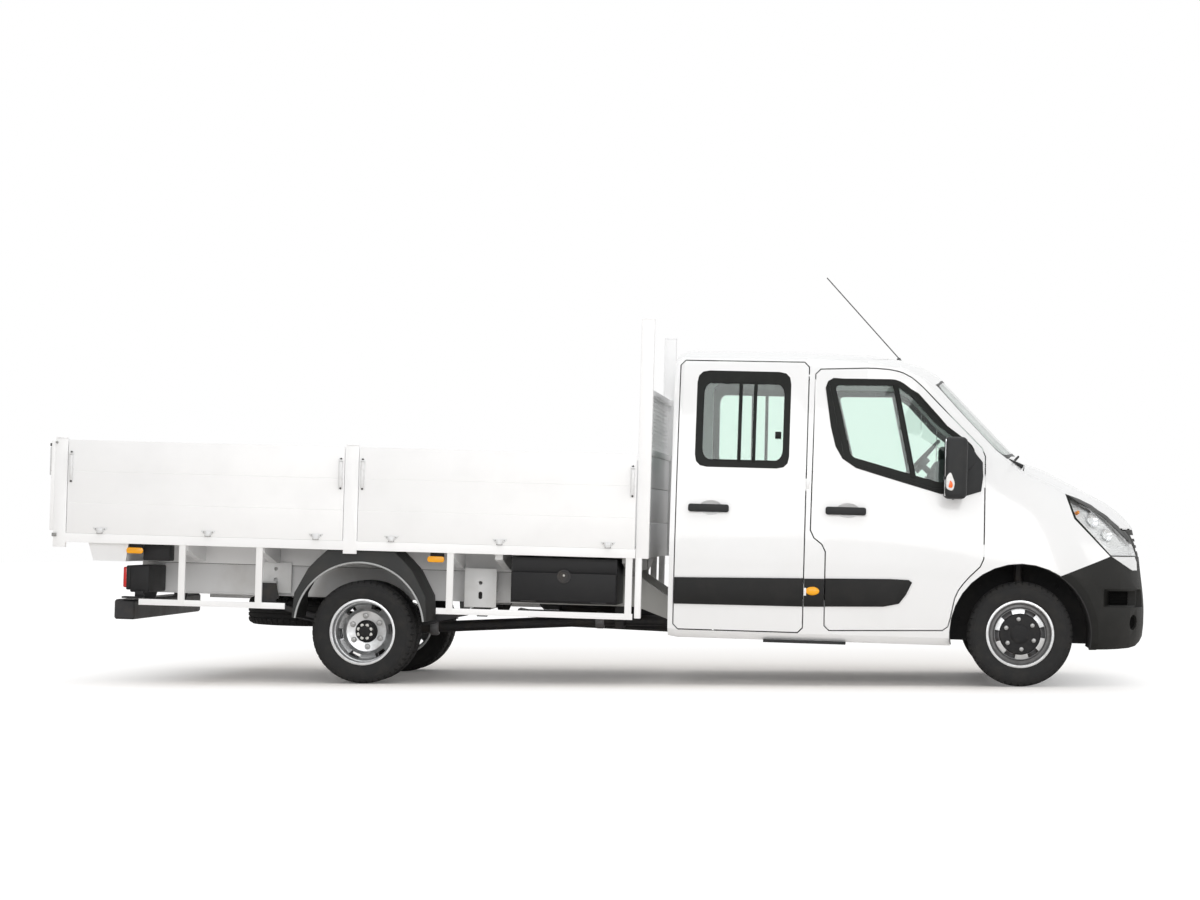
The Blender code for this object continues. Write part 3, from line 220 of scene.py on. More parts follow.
def rounded_edges(piece, width, segments=2, angle=35):
    return modified(piece, "BEVEL", width=width, segments=segments, limit_method="ANGLE",
                    angle_limit=math.radians(angle), use_clamp_overlap=True)


def block(x, y, z, edge=0.0, segments=2):
    """A box between pairs of limits, with rounded edges."""
    fresh()
    limits = (x, y, z)
    bpy.ops.mesh.primitive_cube_add(size=1.0, location=[(low + high) / 2 for low, high in limits])
    bpy.context.object.scale = [abs(high - low) for low, high in limits]
    piece = settled()
    return rounded_edges(piece, edge, segments) if edge else piece


def bar(start, end, radius, sides=16, tip=None, edge=0.0):
    """A round bar, or a cone where the tip's radius differs."""
    fresh()
    start, end = Vector(start), Vector(end)
    turn = Vector((0, 0, 1)).rotation_difference(end - start).to_euler()
    bpy.ops.mesh.primitive_cone_add(
        vertices=sides, radius1=radius, radius2=radius if tip is None else tip,
        depth=(end - start).length, location=(start + end) / 2, rotation=turn)
    piece = settled()
    return rounded_edges(piece, edge) if edge else piece


def ring_of(points):
    """A closed ring of points, with no face, as a new piece."""
    fresh()
    bpy.ops.mesh.primitive_circle_add(vertices=len(points), radius=1.0)
    piece = bpy.context.object
    for vertex, point in zip(piece.data.vertices, points):
        vertex.co = point
    return piece


def tidied(piece):
    """Merges doubles and turns all faces outwards."""
    only(piece)
    bpy.ops.object.mode_set(mode="EDIT")
    bpy.ops.mesh.select_all(action="SELECT")
    bpy.ops.mesh.remove_doubles(threshold=0.00005)
    bpy.ops.mesh.delete_loose(use_faces=False)
    bpy.ops.mesh.select_all(action="SELECT")
    bpy.ops.mesh.normals_make_consistent(inside=False)
    bpy.ops.object.mode_set(mode="OBJECT")
    return piece


AXES = {"X": (1, 0, 0), "Y": (0, 1, 0), "Z": (0, 0, 1)}


def turned(profile, centre, steps, axis="Y", angle=360.0, start=0.0):
    """A closed profile of radius and offset, spun about an axis through the centre."""
    layouts = {"X": lambda r, o: (o, 0.0, r), "Y": lambda r, o: (r, o, 0.0), "Z": lambda r, o: (r, 0.0, o)}
    piece = ring_of([layouts[axis](radius, offset) for radius, offset in profile])
    bpy.ops.object.mode_set(mode="EDIT")
    bpy.ops.mesh.select_all(action="SELECT")
    bpy.ops.mesh.spin(steps=steps, angle=math.radians(angle), center=(0, 0, 0), axis=AXES[axis])
    if angle != 360.0:
        bpy.ops.mesh.select_all(action="SELECT")
        bpy.ops.mesh.fill_holes(sides=0)
    bpy.ops.object.mode_set(mode="OBJECT")
    piece.data.transform(Matrix.Translation(centre) @ Matrix.Rotation(math.radians(start), 4, axis))
    return tidied(piece)


def plate(outline, span, facing="Y", edge=0.0):
    """A flat outline with thickness: x, z points facing Y; x, y facing Z; y, z facing X."""
    low, high = sorted(span)
    layouts = {"X": lambda u, v: (low, u, v), "Y": lambda u, v: (u, low, v), "Z": lambda u, v: (u, v, low)}
    piece = ring_of([layouts[facing](u, v) for u, v in outline])
    bpy.ops.object.mode_set(mode="EDIT")
    bpy.ops.mesh.select_all(action="SELECT")
    bpy.ops.mesh.edge_face_add()
    move = [part * (high - low) for part in AXES[facing]]
    bpy.ops.mesh.extrude_region_move(TRANSFORM_OT_translate={"value": move})
    bpy.ops.object.mode_set(mode="OBJECT")
    tidied(piece)
    return rounded_edges(piece, edge) if edge else piece


def pipe(points, radius, smooth=True, sides=3):
    """A bent bar through the points, as a mesh."""
    curve = bpy.data.curves.new("pipe", "CURVE")
    curve.dimensions = "3D"
    curve.bevel_depth = radius
    curve.bevel_resolution = sides
    curve.use_fill_caps = True
    line = curve.splines.new("NURBS" if smooth else "POLY")
    line.points.add(len(points) - 1)
    for point, place in zip(line.points, points):
        point.co = (*place, 1.0)
    if smooth:
        line.use_endpoint_u = True
        line.order_u = 3
        line.resolution_u = 6
    piece = bpy.data.objects.new("pipe", curve)
    bpy.context.scene.collection.objects.link(piece)
    only(piece)
    bpy.ops.object.convert(target="MESH")
    return tidied(bpy.context.object)


def boolean(piece, operation, tools):
    for tool in tools:
        modified(piece, "BOOLEAN", operation=operation, object=tool, solver="EXACT")
        bpy.data.objects.remove(tool)
    return piece


def cut(piece, *tools):
    return boolean(piece, "DIFFERENCE", tools)


def keep(piece, *tools):
    return boolean(piece, "INTERSECT", tools)


def together(pieces):
    """Several meshes as one piece."""
    pieces = list(pieces)
    fresh()
    for piece in pieces:
        piece.select_set(True)
    bpy.context.view_layer.objects.active = pieces[0]
    bpy.ops.object.join()
    return bpy.context.object


def twin(piece, matrix=Matrix.Identity(4)):
    """A copy with its own mesh, moved or turned by a matrix."""
    made = bpy.data.objects.new(piece.name, piece.data.copy())
    bpy.context.scene.collection.objects.link(made)
    made.data.transform(matrix)
    if matrix.determinant() < 0:
        made.data.flip_normals()
    return made


ACROSS = Matrix.Diagonal((1, -1, 1, 1))


def around(piece, count, first):
    """Copies of a piece at equal steps round the origin's Y axis; the piece itself is used up."""
    made = [twin(piece, Matrix.Rotation(math.radians(first) + 2 * math.pi * i / count, 4, "Y"))
            for i in range(count)]
    bpy.data.objects.remove(piece)
    return together(made)


def row(piece, steps):
    """Copies of a piece moved by each step; the piece itself is used up."""
    made = [twin(piece, Matrix.Translation(step)) for step in steps]
    bpy.data.objects.remove(piece)
    return together(made)


def dressed(piece, name, finish, body="root", stance=RAKED, slot=None, instead=(), angle=32):
    """Names a modelled piece, gives it its finish and its stance, and hangs it on its body."""
    piece.name = piece.data.name = name
    piece.data.materials.clear()
    piece.data.materials.append(finish.material)
    piece.data.transform(stance)
    only(piece)
    bpy.ops.object.shade_smooth_by_angle(angle=math.radians(angle))
    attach(piece, body)
    if instead:
        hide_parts(*instead)
    return piece


def pair(piece, name, finish, body=None, instead=(), **more):
    """Dresses a right-hand piece and its mirror image on the left; body and nodes come without a side."""
    made = []
    for side, label in SIDES:
        half = twin(piece, ACROSS if side > 0 else Matrix.Identity(4))
        made.append(dressed(half, f"{name}_{label}", finish, f"{body}_{label}" if body else "root",
                            instead=[f"{node}_{label}" for node in instead], **more))
    bpy.data.objects.remove(piece)
    return made


def repaint(name, finish):
    """Gives a carried-over solid its finish."""
    nodes[name].data.materials.clear()
    nodes[name].data.materials.append(finish.material)


ZINC = Finish("zinc_bolts", (0.55, 0.55, 0.53), 0.38, 0.8)
ZINC.worn((0.42, 0.38, 0.32), 0.5, 60.0, 0.6)


def bolt(place, axis, size=0.012, height=0.010):
    """A hexagon head with its washer, standing on a face along an axis."""
    direction = Vector(axis)
    washer = bar(place, Vector(place) + direction * height * 0.25, size * 1.5, 16)
    head = bar(Vector(place) + direction * height * 0.2, Vector(place) + direction * height, size, 6,
               edge=0.0008)
    return together([washer, head])


RAIL_FACE_Y = 0.460
RAIL_TOP, RAIL_BOTTOM = 0.760, 0.550
RAIL_HOLES = [-1.50 + 0.16 * i for i in range(20)]


def rail_detail():
    """The pressed rims of the punched holes and the flange lips on a rail's outer face."""
    pieces = []
    for x in RAIL_HOLES:
        if abs(x) > 0.30:
            pieces.append(turned([(0.010, 0.0), (0.014, 0.0), (0.014, 0.002), (0.010, 0.002)],
                                 (x, -RAIL_FACE_Y - 0.001, 0.665), 16))
    for z in (RAIL_TOP - 0.006, RAIL_BOTTOM + 0.006):
        pieces.append(block((-1.638, 1.78), (-RAIL_FACE_Y - 0.004, -RAIL_FACE_Y + 0.004),
                            (z - 0.005, z + 0.005), 0.002))
    return together(pieces)


def bracket_plate(x, low, out):
    """A body bracket: a plate on two arms from the rail, with a slot below a round hole."""
    face = plate([(x - 0.108, low), (x + 0.108, low), (x + 0.108, RAIL_TOP + 0.02),
                  (x - 0.108, RAIL_TOP + 0.02)],
                 (out, out + 0.008), edge=0.002)
    face = cut(face, bar((x, -0.8, low + 0.165), (x, -0.4, low + 0.165), 0.013),
               block((x - 0.013, x + 0.013), (-0.8, -0.4), (low + 0.055, low + 0.105), 0.010))
    arms = [block((x + dx - 0.004, x + dx + 0.004), (out + 0.004, -0.462), (low + 0.10, RAIL_TOP), 0.001)
            for dx in (-0.096, 0.096)]
    return together([face] + arms)


repaint("chassis_frame", FRAME_PAINT)
pair(rail_detail(), "rail_detail", FRAME_PAINT, slot="grey_frame")
BRACKET = Finish("bracket_paint", (0.84, 0.85, 0.85), 0.45)
BRACKET.worn((0.72, 0.71, 0.69), 0.5, 7.0, 0.6)
pair(together([bracket_plate(0.730, 0.519, -0.606), bracket_plate(-0.70, 0.570, -0.490)]), "body_brackets",
     BRACKET, slot="grey_frame")
PACKING = Finish("packing_strip", (0.045, 0.043, 0.040), 0.8)
PACKING.worn((0.09, 0.085, 0.075), 0.5, 9.0, 0.9)
pair(block((-1.600, 1.780), (-0.4670, -0.4600), (0.7570, 0.7670), 0.001), "rail_packing", PACKING,
     slot="black_plastic")


# Rear springs and axle.
# Leaf packs of black spring steel, clamped under the axle tube by U-bolts and hung from the rails on
# pressed black brackets and shackles, with a telescopic damper beside each pack.
SPRING_Y = 0.507
STEEL_BLACK = Finish("steel_black", (0.022, 0.022, 0.024), 0.52, 0.25)
STEEL_BLACK.worn((0.075, 0.062, 0.050), 0.5, 9.0, 0.8)
STEEL_BLACK.bump(STEEL_BLACK.noise(180.0), 0.0008)
CAST = Finish("cast_metal", (0.26, 0.26, 0.27), 0.6, 0.55)
CAST.worn((0.15, 0.10, 0.07), 0.6, 22.0, 0.85)
CAST.bump(CAST.noise(320.0), 0.0012)
for node in ("rear_axle", "front_suspension", "propshaft", "exhaust", "underrun_bar"):
    repaint(node, STEEL_BLACK)
for node in ("engine", "knuckle_left", "knuckle_right"):
    repaint(node, CAST)


def leaf(reach, drop):
    """One spring leaf under the main one, shorter and lower."""
    top, count = [], 12
    for i in range(count + 1):
        x = -reach + 2 * reach * i / count
        top.append((x, TYRE_RADIUS + 0.026 - drop + 0.115 * (x / 0.74) ** 2))
    return plate(top + [(x, z - 0.010) for x, z in reversed(top)], (-SPRING_Y - 0.030, -SPRING_Y + 0.030),
                 edge=0.0015)


TYRE_RADIUS = AXLE.z
U_BOLTS = [pipe([(x, -SPRING_Y + 0.042, TYRE_RADIUS - 0.075), (x, -SPRING_Y + 0.042, TYRE_RADIUS + 0.056),
                 (x, -SPRING_Y + 0.034, TYRE_RADIUS + 0.066), (x, -SPRING_Y - 0.034, TYRE_RADIUS + 0.066),
                 (x, -SPRING_Y - 0.042, TYRE_RADIUS + 0.056), (x, -SPRING_Y - 0.042, TYRE_RADIUS - 0.075)],
                0.008, smooth=False) for x in (-0.062, 0.062)]
CLAMP = block((-0.095, 0.095), (-SPRING_Y - 0.058, -SPRING_Y + 0.058),
              (TYRE_RADIUS - 0.060, TYRE_RADIUS - 0.046), 0.003)
pair(together([leaf(0.56, 0.0), leaf(0.42, 0.011), leaf(0.28, 0.022)] + U_BOLTS + [CLAMP]), "leaf_pack",
     STEEL_BLACK, stance=LEVEL, slot="black_steel")
DAMPER = together([bar((-0.18, -0.350, TYRE_RADIUS - 0.02), (-0.30, -0.350, 0.50), 0.034, 20, edge=0.004),
                   bar((-0.30, -0.350, 0.50), (-0.40, -0.350, 0.655), 0.026, 20, edge=0.003)])
pair(DAMPER, "rear_damper", STEEL_BLACK, stance=LEVEL, slot="black_steel")


def shackle(x, lean):
    """A pressed bracket with its spring bolt, outside the rail."""
    shape = [(x - 0.075, 0.560), (x - 0.035, 0.455), (x + 0.035, 0.455), (x + 0.075, 0.560),
             (x + 0.060, 0.640), (x - 0.060, 0.640)]
    cheek = plate(shape, (-0.560, -0.553), edge=0.002)
    bush = turned([(0.012, -0.552), (0.030, -0.552), (0.030, -0.566), (0.012, -0.566)],
                  (x + lean, 0.0, 0.487), 24)
    return together([cheek, bush, bolt((x + lean, -0.566, 0.487), (0, -1, 0), 0.013, 0.012)])


pair(together([shackle(-0.74, 0.010), shackle(0.74, -0.005)]), "spring_bracket", STEEL_BLACK,
     slot="black_steel")


# Wheels.
# Radial van tyres with five ribs and cut shoulder blocks, on pressed steel wheels in silver enamel:
# six-stud, dished outwards in front and inwards behind, where two are bolted back to back on one hub.
FRONT_WHEEL = Vector(joints["front_wheel_right_spin"]["pos_m"]) - Vector((AXLE.x, 0.0, 0.0))
REAR_WHEEL = Vector((0.0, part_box("rim_rear_right")[0].y / 2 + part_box("rim_rear_right")[1].y / 2, TYRE_RADIUS))
TWIN_STEP = 0.110
TREAD_STEPS = 192


def tyre_rubber():
    finish = Finish("tyre_rubber", (0.017, 0.017, 0.0175), 0.78, Specular_IOR_Level=0.3)
    finish.worn((0.036, 0.034, 0.031), 0.55, 14.0, 0.92)
    grain = finish.noise(420.0, 2.0) + finish.noise(60.0) * 0.4
    finish.bump(grain, 0.0007)
    return finish


def choose(piece, test):
    """Opens a piece for editing with the faces that pass the test selected."""
    only(piece)
    bpy.ops.object.mode_set(mode="EDIT")
    bpy.ops.mesh.select_mode(type="FACE")
    bpy.ops.mesh.select_all(action="DESELECT")
    bpy.ops.object.mode_set(mode="OBJECT")
    for face in piece.data.polygons:
        face.select = test(face)
    bpy.ops.object.mode_set(mode="EDIT")


def tyre():
    """A tyre about the origin, turned from its section, with cut shoulder blocks."""
    half = [(0.2080, 0.062), (0.2150, 0.0770), (0.2230, 0.0815), (0.2290, 0.0820), (0.2310, 0.0868),
            (0.2500, 0.0935), (0.2720, 0.0974), (0.2890, 0.0974), (0.3020, 0.0948), (0.3032, 0.0962),
            (0.3095, 0.0946), (0.3108, 0.0922), (0.3210, 0.0880), (0.3305, 0.0815), (0.3375, 0.0725),
            (0.3400, 0.0640), (0.3408, 0.0500), (0.3335, 0.0485), (0.3335, 0.0425), (0.3414, 0.0410),
            (0.3420, 0.0180), (0.3345, 0.0165), (0.3345, 0.0095), (0.3424, 0.0080)]
    piece = turned(half + [(radius, -offset) for radius, offset in reversed(half)], (0, 0, 0), TREAD_STEPS)

    def shoulder_cut(face):
        radius = math.hypot(face.center.x, face.center.z)
        number = int((math.atan2(face.center.z, face.center.x) % (2 * math.pi)) / (2 * math.pi / TREAD_STEPS))
        wanted = number % 4 == (0 if face.center.y > 0 else 2)
        return wanted and radius > 0.322 and abs(face.center.y) > 0.049 and abs(face.normal.y) < 0.93

    choose(piece, shoulder_cut)
    bpy.ops.mesh.inset(thickness=0.0016, depth=-0.0065)
    bpy.ops.object.mode_set(mode="OBJECT")
    return piece


def steel_silver():
    finish = Finish("wheel_silver", (0.62, 0.63, 0.64), 0.30, 0.85)
    finish.worn((0.33, 0.31, 0.29), 0.35, 26.0, 0.6)
    finish.bump(finish.noise(500.0), 0.0003)
    return finish


def arc_slot(low, high, spread):
    """A curved slot about the origin, centred straight up."""
    steps = 6
    angles = [math.radians(90 - spread + 2 * spread * i / steps) for i in range(steps + 1)]
    outer = [(high * math.cos(a), high * math.sin(a)) for a in angles]
    inner = [(low * math.cos(a), low * math.sin(a)) for a in reversed(angles)]
    return plate(outer + inner, (-0.3, 0.3))


RUBBER = tyre_rubber()
SILVER = steel_silver()
NUT_STEEL = Finish("nut_steel", (0.40, 0.40, 0.40), 0.34, 0.7)
NUT_STEEL.worn((0.26, 0.25, 0.23), 0.4, 80.0, 0.55)
HUB_BLACK = Finish("hub_black", (0.013, 0.013, 0.014), 0.50, Specular_IOR_Level=0.2)
HUB_BLACK.worn((0.035, 0.033, 0.031), 0.45, 30.0, 0.7)
TYRE = tyre()
pair(twin(TYRE, Matrix.Translation(FRONT_WHEEL)), "tyre_front", RUBBER, "wheel_front", ("tyre_front",),
     stance=LEVEL, slot="tyre_rubber", angle=28)
for place, step in (("outer", -TWIN_STEP), ("inner", TWIN_STEP)):
    pair(twin(TYRE, Matrix.Translation(REAR_WHEEL + Vector((0, step, 0)))), f"tyre_rear_{place}", RUBBER,
         "wheel_rear", (f"tyre_rear_{place}",), stance=LEVEL, slot="tyre_rubber", angle=28)

# Front wheels: outward is towards -Y on the right-hand side.
FRONT_RIM = turned([
    (0.2225, -0.0785), (0.2190, -0.0800), (0.2070, -0.0795), (0.2035, -0.0765), (0.2020, -0.0640),
    (0.1985, -0.0520), (0.1960, -0.0430), (0.1900, -0.0380), (0.1760, -0.0400),
    (0.1660, -0.0520), (0.1600, -0.0560), (0.1380, -0.0570), (0.1300, -0.0600), (0.0310, -0.0600),
    (0.0310, -0.0500), (0.1300, -0.0500), (0.1600, -0.0450), (0.1700, -0.0320), (0.1930, -0.0250),
    (0.1960, 0.0500), (0.2060, 0.0660), (0.2150, 0.0730), (0.2170, 0.0790), (0.2225, 0.0790),
    (0.2220, 0.0700), (0.2075, 0.0600), (0.2075, -0.0560), (0.2160, -0.0690)], (0, 0, 0), 128)
FRONT_RIM = cut(FRONT_RIM, around(arc_slot(0.1345, 0.1640, 14), 6, -34))
# A dark grey band laid in the rim's valley: painted shade where the valley falls into shadow.
RIM_WELL_SHADE = turned([(0.1670, -0.0526), (0.1765, -0.0412), (0.1902, -0.0392), (0.1966, -0.0442),
                   (0.1992, -0.0530), (0.2015, -0.0640), (0.2005, -0.0640), (0.1980, -0.0525),
                   (0.1958, -0.0435), (0.1900, -0.0384), (0.1764, -0.0404), (0.1663, -0.0520)], (0, 0, 0), 96)
FRONT_CAP = turned([(0.0, -0.0800), (0.040, -0.0800), (0.058, -0.0780), (0.064, -0.0735), (0.112, -0.0720),
                    (0.128, -0.0700), (0.1345, -0.0640), (0.1350, -0.0560), (0.0, -0.0560)], (0, 0, 0), 96)
FRONT_BRAKE = turned([(0.032, -0.018), (0.142, -0.018), (0.142, 0.006), (0.170, 0.012), (0.172, 0.016),
                      (0.090, 0.018), (0.032, 0.018)], (0, 0, 0), 72)


def wheel_nut(radius, base, angle, size=0.0155):
    """A conical-seat wheel nut with its stud end, at an angle on the stud circle."""
    spot = Vector((radius * math.cos(math.radians(angle)), base, radius * math.sin(math.radians(angle))))
    out = Vector((0, -1, 0))
    collar = bar(spot, spot + out * 0.004, size * 1.15, 20, size)
    body = bar(spot + out * 0.003, spot + out * 0.017, size * 0.92, 6, edge=0.0012)
    stud = bar(spot + out * 0.016, spot + out * 0.023, size * 0.42, 12, size * 0.32)
    return together([collar, body, stud])


at_front = Matrix.Translation(FRONT_WHEEL)
FRONT_NUTS = together([wheel_nut(0.098, -0.0715, angle, 0.0130) for angle in range(35, 395, 60)])
# Painted shade for the rim's valley band.
WELL_SHADE = Finish("painted_well_shade", (0.16, 0.16, 0.162), 0.42, 0.4)
WELL_SHADE.worn((0.10, 0.095, 0.09), 0.5, 30.0, 0.7)
for piece, name, finish, slot in ((FRONT_RIM, "rim_front", SILVER, "silver_wheel"),
                                  (RIM_WELL_SHADE, "rim_well_shade_front", WELL_SHADE, "silver_wheel"),
                                  (FRONT_CAP, "hub_cap_front", HUB_BLACK, "black_plastic"),
                                  (FRONT_NUTS, "nuts_front", NUT_STEEL, "silver_wheel")):
    piece.data.transform(at_front)
    pair(piece, name, finish, "wheel_front", ("rim_front",) if name == "rim_front" else (), stance=LEVEL,
         slot=slot)
FRONT_BRAKE.data.transform(at_front)
pair(FRONT_BRAKE, "brake_disc", CAST, "knuckle", stance=LEVEL, slot="cast_metal")

# Rear wheels: the outer one is dished inwards, and the inner one is its mirror image on the same studs.
OUTER_RIM = turned([
    (0.2225, -0.1885), (0.2190, -0.1900), (0.2065, -0.1895), (0.2030, -0.1860), (0.2012, -0.1690),
    (0.2005, -0.1560), (0.2000, -0.1200), (0.1925, -0.1130), (0.1900, -0.0960), (0.1860, -0.0800),
    (0.1780, -0.0690), (0.1560, -0.0560), (0.1480, -0.0440), (0.1380, -0.0300), (0.1320, -0.0270),
    (0.0310, -0.0270), (0.0310, -0.0010), (0.1400, -0.0010), (0.1540, -0.0300), (0.1640, -0.0440),
    (0.1880, -0.0600), (0.1980, -0.0480), (0.2140, -0.0370), (0.2160, -0.0310), (0.2225, -0.0310),
    (0.2220, -0.0400), (0.2075, -0.0500), (0.2075, -0.1660), (0.2170, -0.1790)], (0, 0, 0), 128)
OUTER_RIM = cut(OUTER_RIM, around(arc_slot(0.1560, 0.1860, 12), 6, -35))
REAR_RIM = together([OUTER_RIM, twin(OUTER_RIM, ACROSS)])
REAR_NUTS = together([wheel_nut(0.103, -0.0270, angle, 0.017) for angle in range(33, 393, 60)])
REAR_HUB = turned([(0.0, -0.1030), (0.030, -0.1030), (0.052, -0.0980), (0.058, -0.0900), (0.060, -0.0400),
                   (0.074, -0.0340), (0.076, -0.0270), (0.0, -0.0270)], (0, 0, 0), 64)
HUB_BOLTS = together([bolt((0.045 * math.cos(math.radians(a)), -0.0990, 0.045 * math.sin(math.radians(a))),
                           (0, -1, 0), 0.0075, 0.007) for a in range(22, 382, 45)])
at_rear = Matrix.Translation(REAR_WHEEL)
for piece, name, finish, slot in ((REAR_RIM, "rim_rear", SILVER, "silver_wheel"),
                                  (REAR_NUTS, "nuts_rear", NUT_STEEL, "silver_wheel"),
                                  (REAR_HUB, "hub_rear", HUB_BLACK, "black_plastic"),
                                  (HUB_BOLTS, "hub_bolts_rear", ZINC, "silver_wheel")):
    piece.data.transform(at_rear)
    pair(piece, name, finish, "wheel_rear", ("rim_rear",) if name == "rim_rear" else (), stance=LEVEL,
         slot=slot)

# Spare: one more wheel, carried flat under the rails on its winch disc.
SPARE_LIE = Matrix.Translation((-0.640, 0.0, 0.437)) @ Matrix.Rotation(math.pi / 2, 4, "X")
SPARE_RIM = turned([
    (0.2225, -0.0790), (0.2120, -0.0720), (0.2010, -0.0600), (0.1960, -0.0430), (0.1760, -0.0400),
                    (0.1600, 0.0000),
    (0.0310, 0.0000), (0.0310, 0.0080), (0.1640, 0.0080), (0.1930, 0.0050), (0.1960, 0.0500),
                    (0.2140, 0.0700),
    (0.2225, 0.0790), (0.2075, 0.0600), (0.2075, -0.0600)], (0, 0, 0), 72)
dressed(twin(TYRE, SPARE_LIE), "spare_tyre", RUBBER, instead=("spare_wheel",), slot="tyre_rubber", angle=28)
dressed(twin(SPARE_RIM, SPARE_LIE), "spare_rim", SILVER, slot="silver_wheel")
for used in (TYRE, SPARE_RIM):
    bpy.data.objects.remove(used)


# Under the body: fuel tank straps and prop shaft joints.
# The moulded tank hangs in folded black steel bands with their bolts, beside its filler cap, and forged
# yokes join the shaft's tubes.
TANK_PLASTIC = Finish("tank_plastic", (0.030, 0.031, 0.033), 0.58)
TANK_PLASTIC.worn((0.070, 0.066, 0.060), 0.45, 6.0, 0.8)
TANK_PLASTIC.bump(TANK_PLASTIC.noise(240.0), 0.0010)
repaint("fuel_tank", TANK_PLASTIC)
STRAPS = []
for x in (1.16, 1.52):
    STRAPS += [block((x - 0.022, x + 0.022), (0.958, 0.9635), (0.478, 0.880), 0.0015),
               block((x - 0.022, x + 0.022), (0.515, 0.9635), (0.4745, 0.4800), 0.0015),
               bolt((x, 0.9635, 0.850), (0, 1, 0), 0.010, 0.009)]
STRAPS.append(turned([(0.0, 0.955), (0.040, 0.955), (0.044, 0.962), (0.044, 0.985), (0.038, 0.992),
                      (0.0, 0.992)],
                     (1.34, 0.0, 0.78), 40))
dressed(together(STRAPS), "tank_straps", STEEL_BLACK, slot="black_steel")
YOKES = [turned([(0.0, -0.030), (0.052, -0.030), (0.058, -0.020), (0.058, 0.020), (0.052, 0.030),
                 (0.0, 0.030)],
                (x, 0.0, z), 24, "X") for x, z in ((0.335, 0.354), (1.490, 0.436), (3.120, 0.469))]
dressed(together(YOKES), "shaft_yokes", CAST, slot="cast_metal")


# Tray body.
# Welded aluminium sections under white powder coat: longitudinals and cross-bearers on the rails, a
# planked deck, side raves with stake posts and tubular side guards hung below them.
def tray_paint(name, colour):
    finish = Finish(name, colour, 0.42)
    finish.worn(tuple(0.93 * part for part in colour), 0.5, 3.5, 0.50)
    finish.bump(finish.noise(220.0, 2.0), 0.0004)
    return finish


def deck_planks():
    """Ribbed planks along the deck, with a groove every fifteen centimetres and trodden grey patches."""
    finish = Finish("deck_planks", (0.60, 0.61, 0.62), 0.45, 0.35)
    finish.worn((0.45, 0.45, 0.45), 0.6, 4.0, 0.6)
    groove = finish.axis("Y").wave(0.150) > 0.985
    rib = finish.axis("Y").wave(0.0125) * 0.12
    finish.bump(1 - groove + rib, 0.0015)
    return finish


def solid_copy(name, stance=RAKED):
    """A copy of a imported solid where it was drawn, merged, with its flat faces whole."""
    piece = only(twin(nodes[name], stance.inverted()))
    bpy.ops.object.mode_set(mode="EDIT")
    bpy.ops.mesh.select_all(action="SELECT")
    bpy.ops.mesh.remove_doubles(threshold=0.00005)
    bpy.ops.mesh.dissolve_limited(angle_limit=math.radians(0.4))
    bpy.ops.object.mode_set(mode="OBJECT")
    return piece


TRAY_WHITE = tray_paint("tray_white", (0.93, 0.932, 0.934))
DECK = deck_planks()
SUBFRAME = tray_paint("subframe_white", (0.86, 0.865, 0.87))
# Painted shade: the subframe darkens towards the front along X.
SUBFRAME.painted_shade_along_x((0.36, 0.36, 0.35), -0.85, 0.10)
TRAY_FRONT, TRAY_REAR, TRAY_HALF = 1.810, -2.105, 1.060
DECK_TOP, SIDE_TOP = 0.945, 1.570
repaint("tray_floor", SUBFRAME)
PLANKS = block((TRAY_REAR + 0.004, TRAY_FRONT - 0.004), (-1.016, 1.016),
               (DECK_TOP - 0.006, DECK_TOP - 0.0008), 0.0008)
dressed(PLANKS, "deck_planks", DECK, slot="white_alloy")
pair(rounded_edges(solid_copy("tray_side_right"), 0.004), "tray_side", TRAY_WHITE, instead=("tray_side",),
     slot="white_alloy")
POST_CAPS = [block((low + 0.003, high - 0.003), (-1.0620, -1.0300), (1.5785, 1.5865), 0.003)
             for low, high in ((-2.105, -2.020), (-0.135, -0.045))]
pair(together(POST_CAPS), "post_caps", TRAY_WHITE, slot="white_alloy")


# Dropsides and tailgate.
# Hollow aluminium planks locked into one another; over-centre latch handles pull them to the posts, and
# pressed tee hinges with grease-dark pins carry them on the rave.
HINGE_ZINC = Finish("hinge_zinc", (0.70, 0.705, 0.71), 0.45, 0.2)
HINGE_ZINC.worn((0.52, 0.50, 0.48), 0.5, 50.0, 0.6)
LATCH_GREY = Finish("latch_grey", (0.76, 0.765, 0.77), 0.40, 0.1)
LATCH_GREY.worn((0.62, 0.61, 0.60), 0.5, 40.0, 0.55)
SCREW_DARK = Finish("screw_dark", (0.07, 0.07, 0.072), 0.55, 0.3)
SCREW_DARK.worn((0.12, 0.10, 0.08), 0.5, 90.0, 0.75)
HINGE_DARK = Finish("hinge_pins", (0.30, 0.30, 0.295), 0.5, 0.4)
HINGE_DARK.worn((0.20, 0.18, 0.16), 0.5, 60.0, 0.7)
GROOVES = (1.145, 1.355)
GAP = 0.0055


def planked(x, y, z, faces):
    """A panel of three planks: rounded edges, and vee grooves on the faces named by their y."""
    panel = block(x, y, z, 0.003)
    for groove in GROOVES:
        for face in faces:
            vee = bar((x[0] - 0.1, face, groove + 0.004), (x[1] + 0.1, face, groove + 0.004), 0.0022, 4)
            panel = cut(panel, vee)
    return panel


def side_hinge(x):
    """A pressed tee whose stem wraps the hinge pin."""
    stem = plate([(-1.060, 0.984), (-1.0665, 0.984), (-1.0810, 0.9620), (-1.0810, 0.9500), (-1.060, 0.9500)],
                 (x - 0.016, x + 0.016), "X", 0.0015)
    tee = plate([(x - 0.050, 0.986), (x + 0.050, 0.986), (x + 0.036, 0.968), (x + 0.014, 0.954),
                 (x - 0.014, 0.954), (x - 0.036, 0.968)], (-1.0665, -1.0612), edge=0.0012)
    return together([stem, tee])


def hinge_pin(x):
    pin = bar((x - 0.020, -1.075, 0.9515), (x + 0.020, -1.075, 0.9515), 0.0045, 12)
    screws = [bar((x + dx, -1.0660, 0.9775), (x + dx, -1.0690, 0.9775), 0.0045, 12, 0.003)
              for dx in (-0.030, 0.030)]
    return together([pin] + screws)


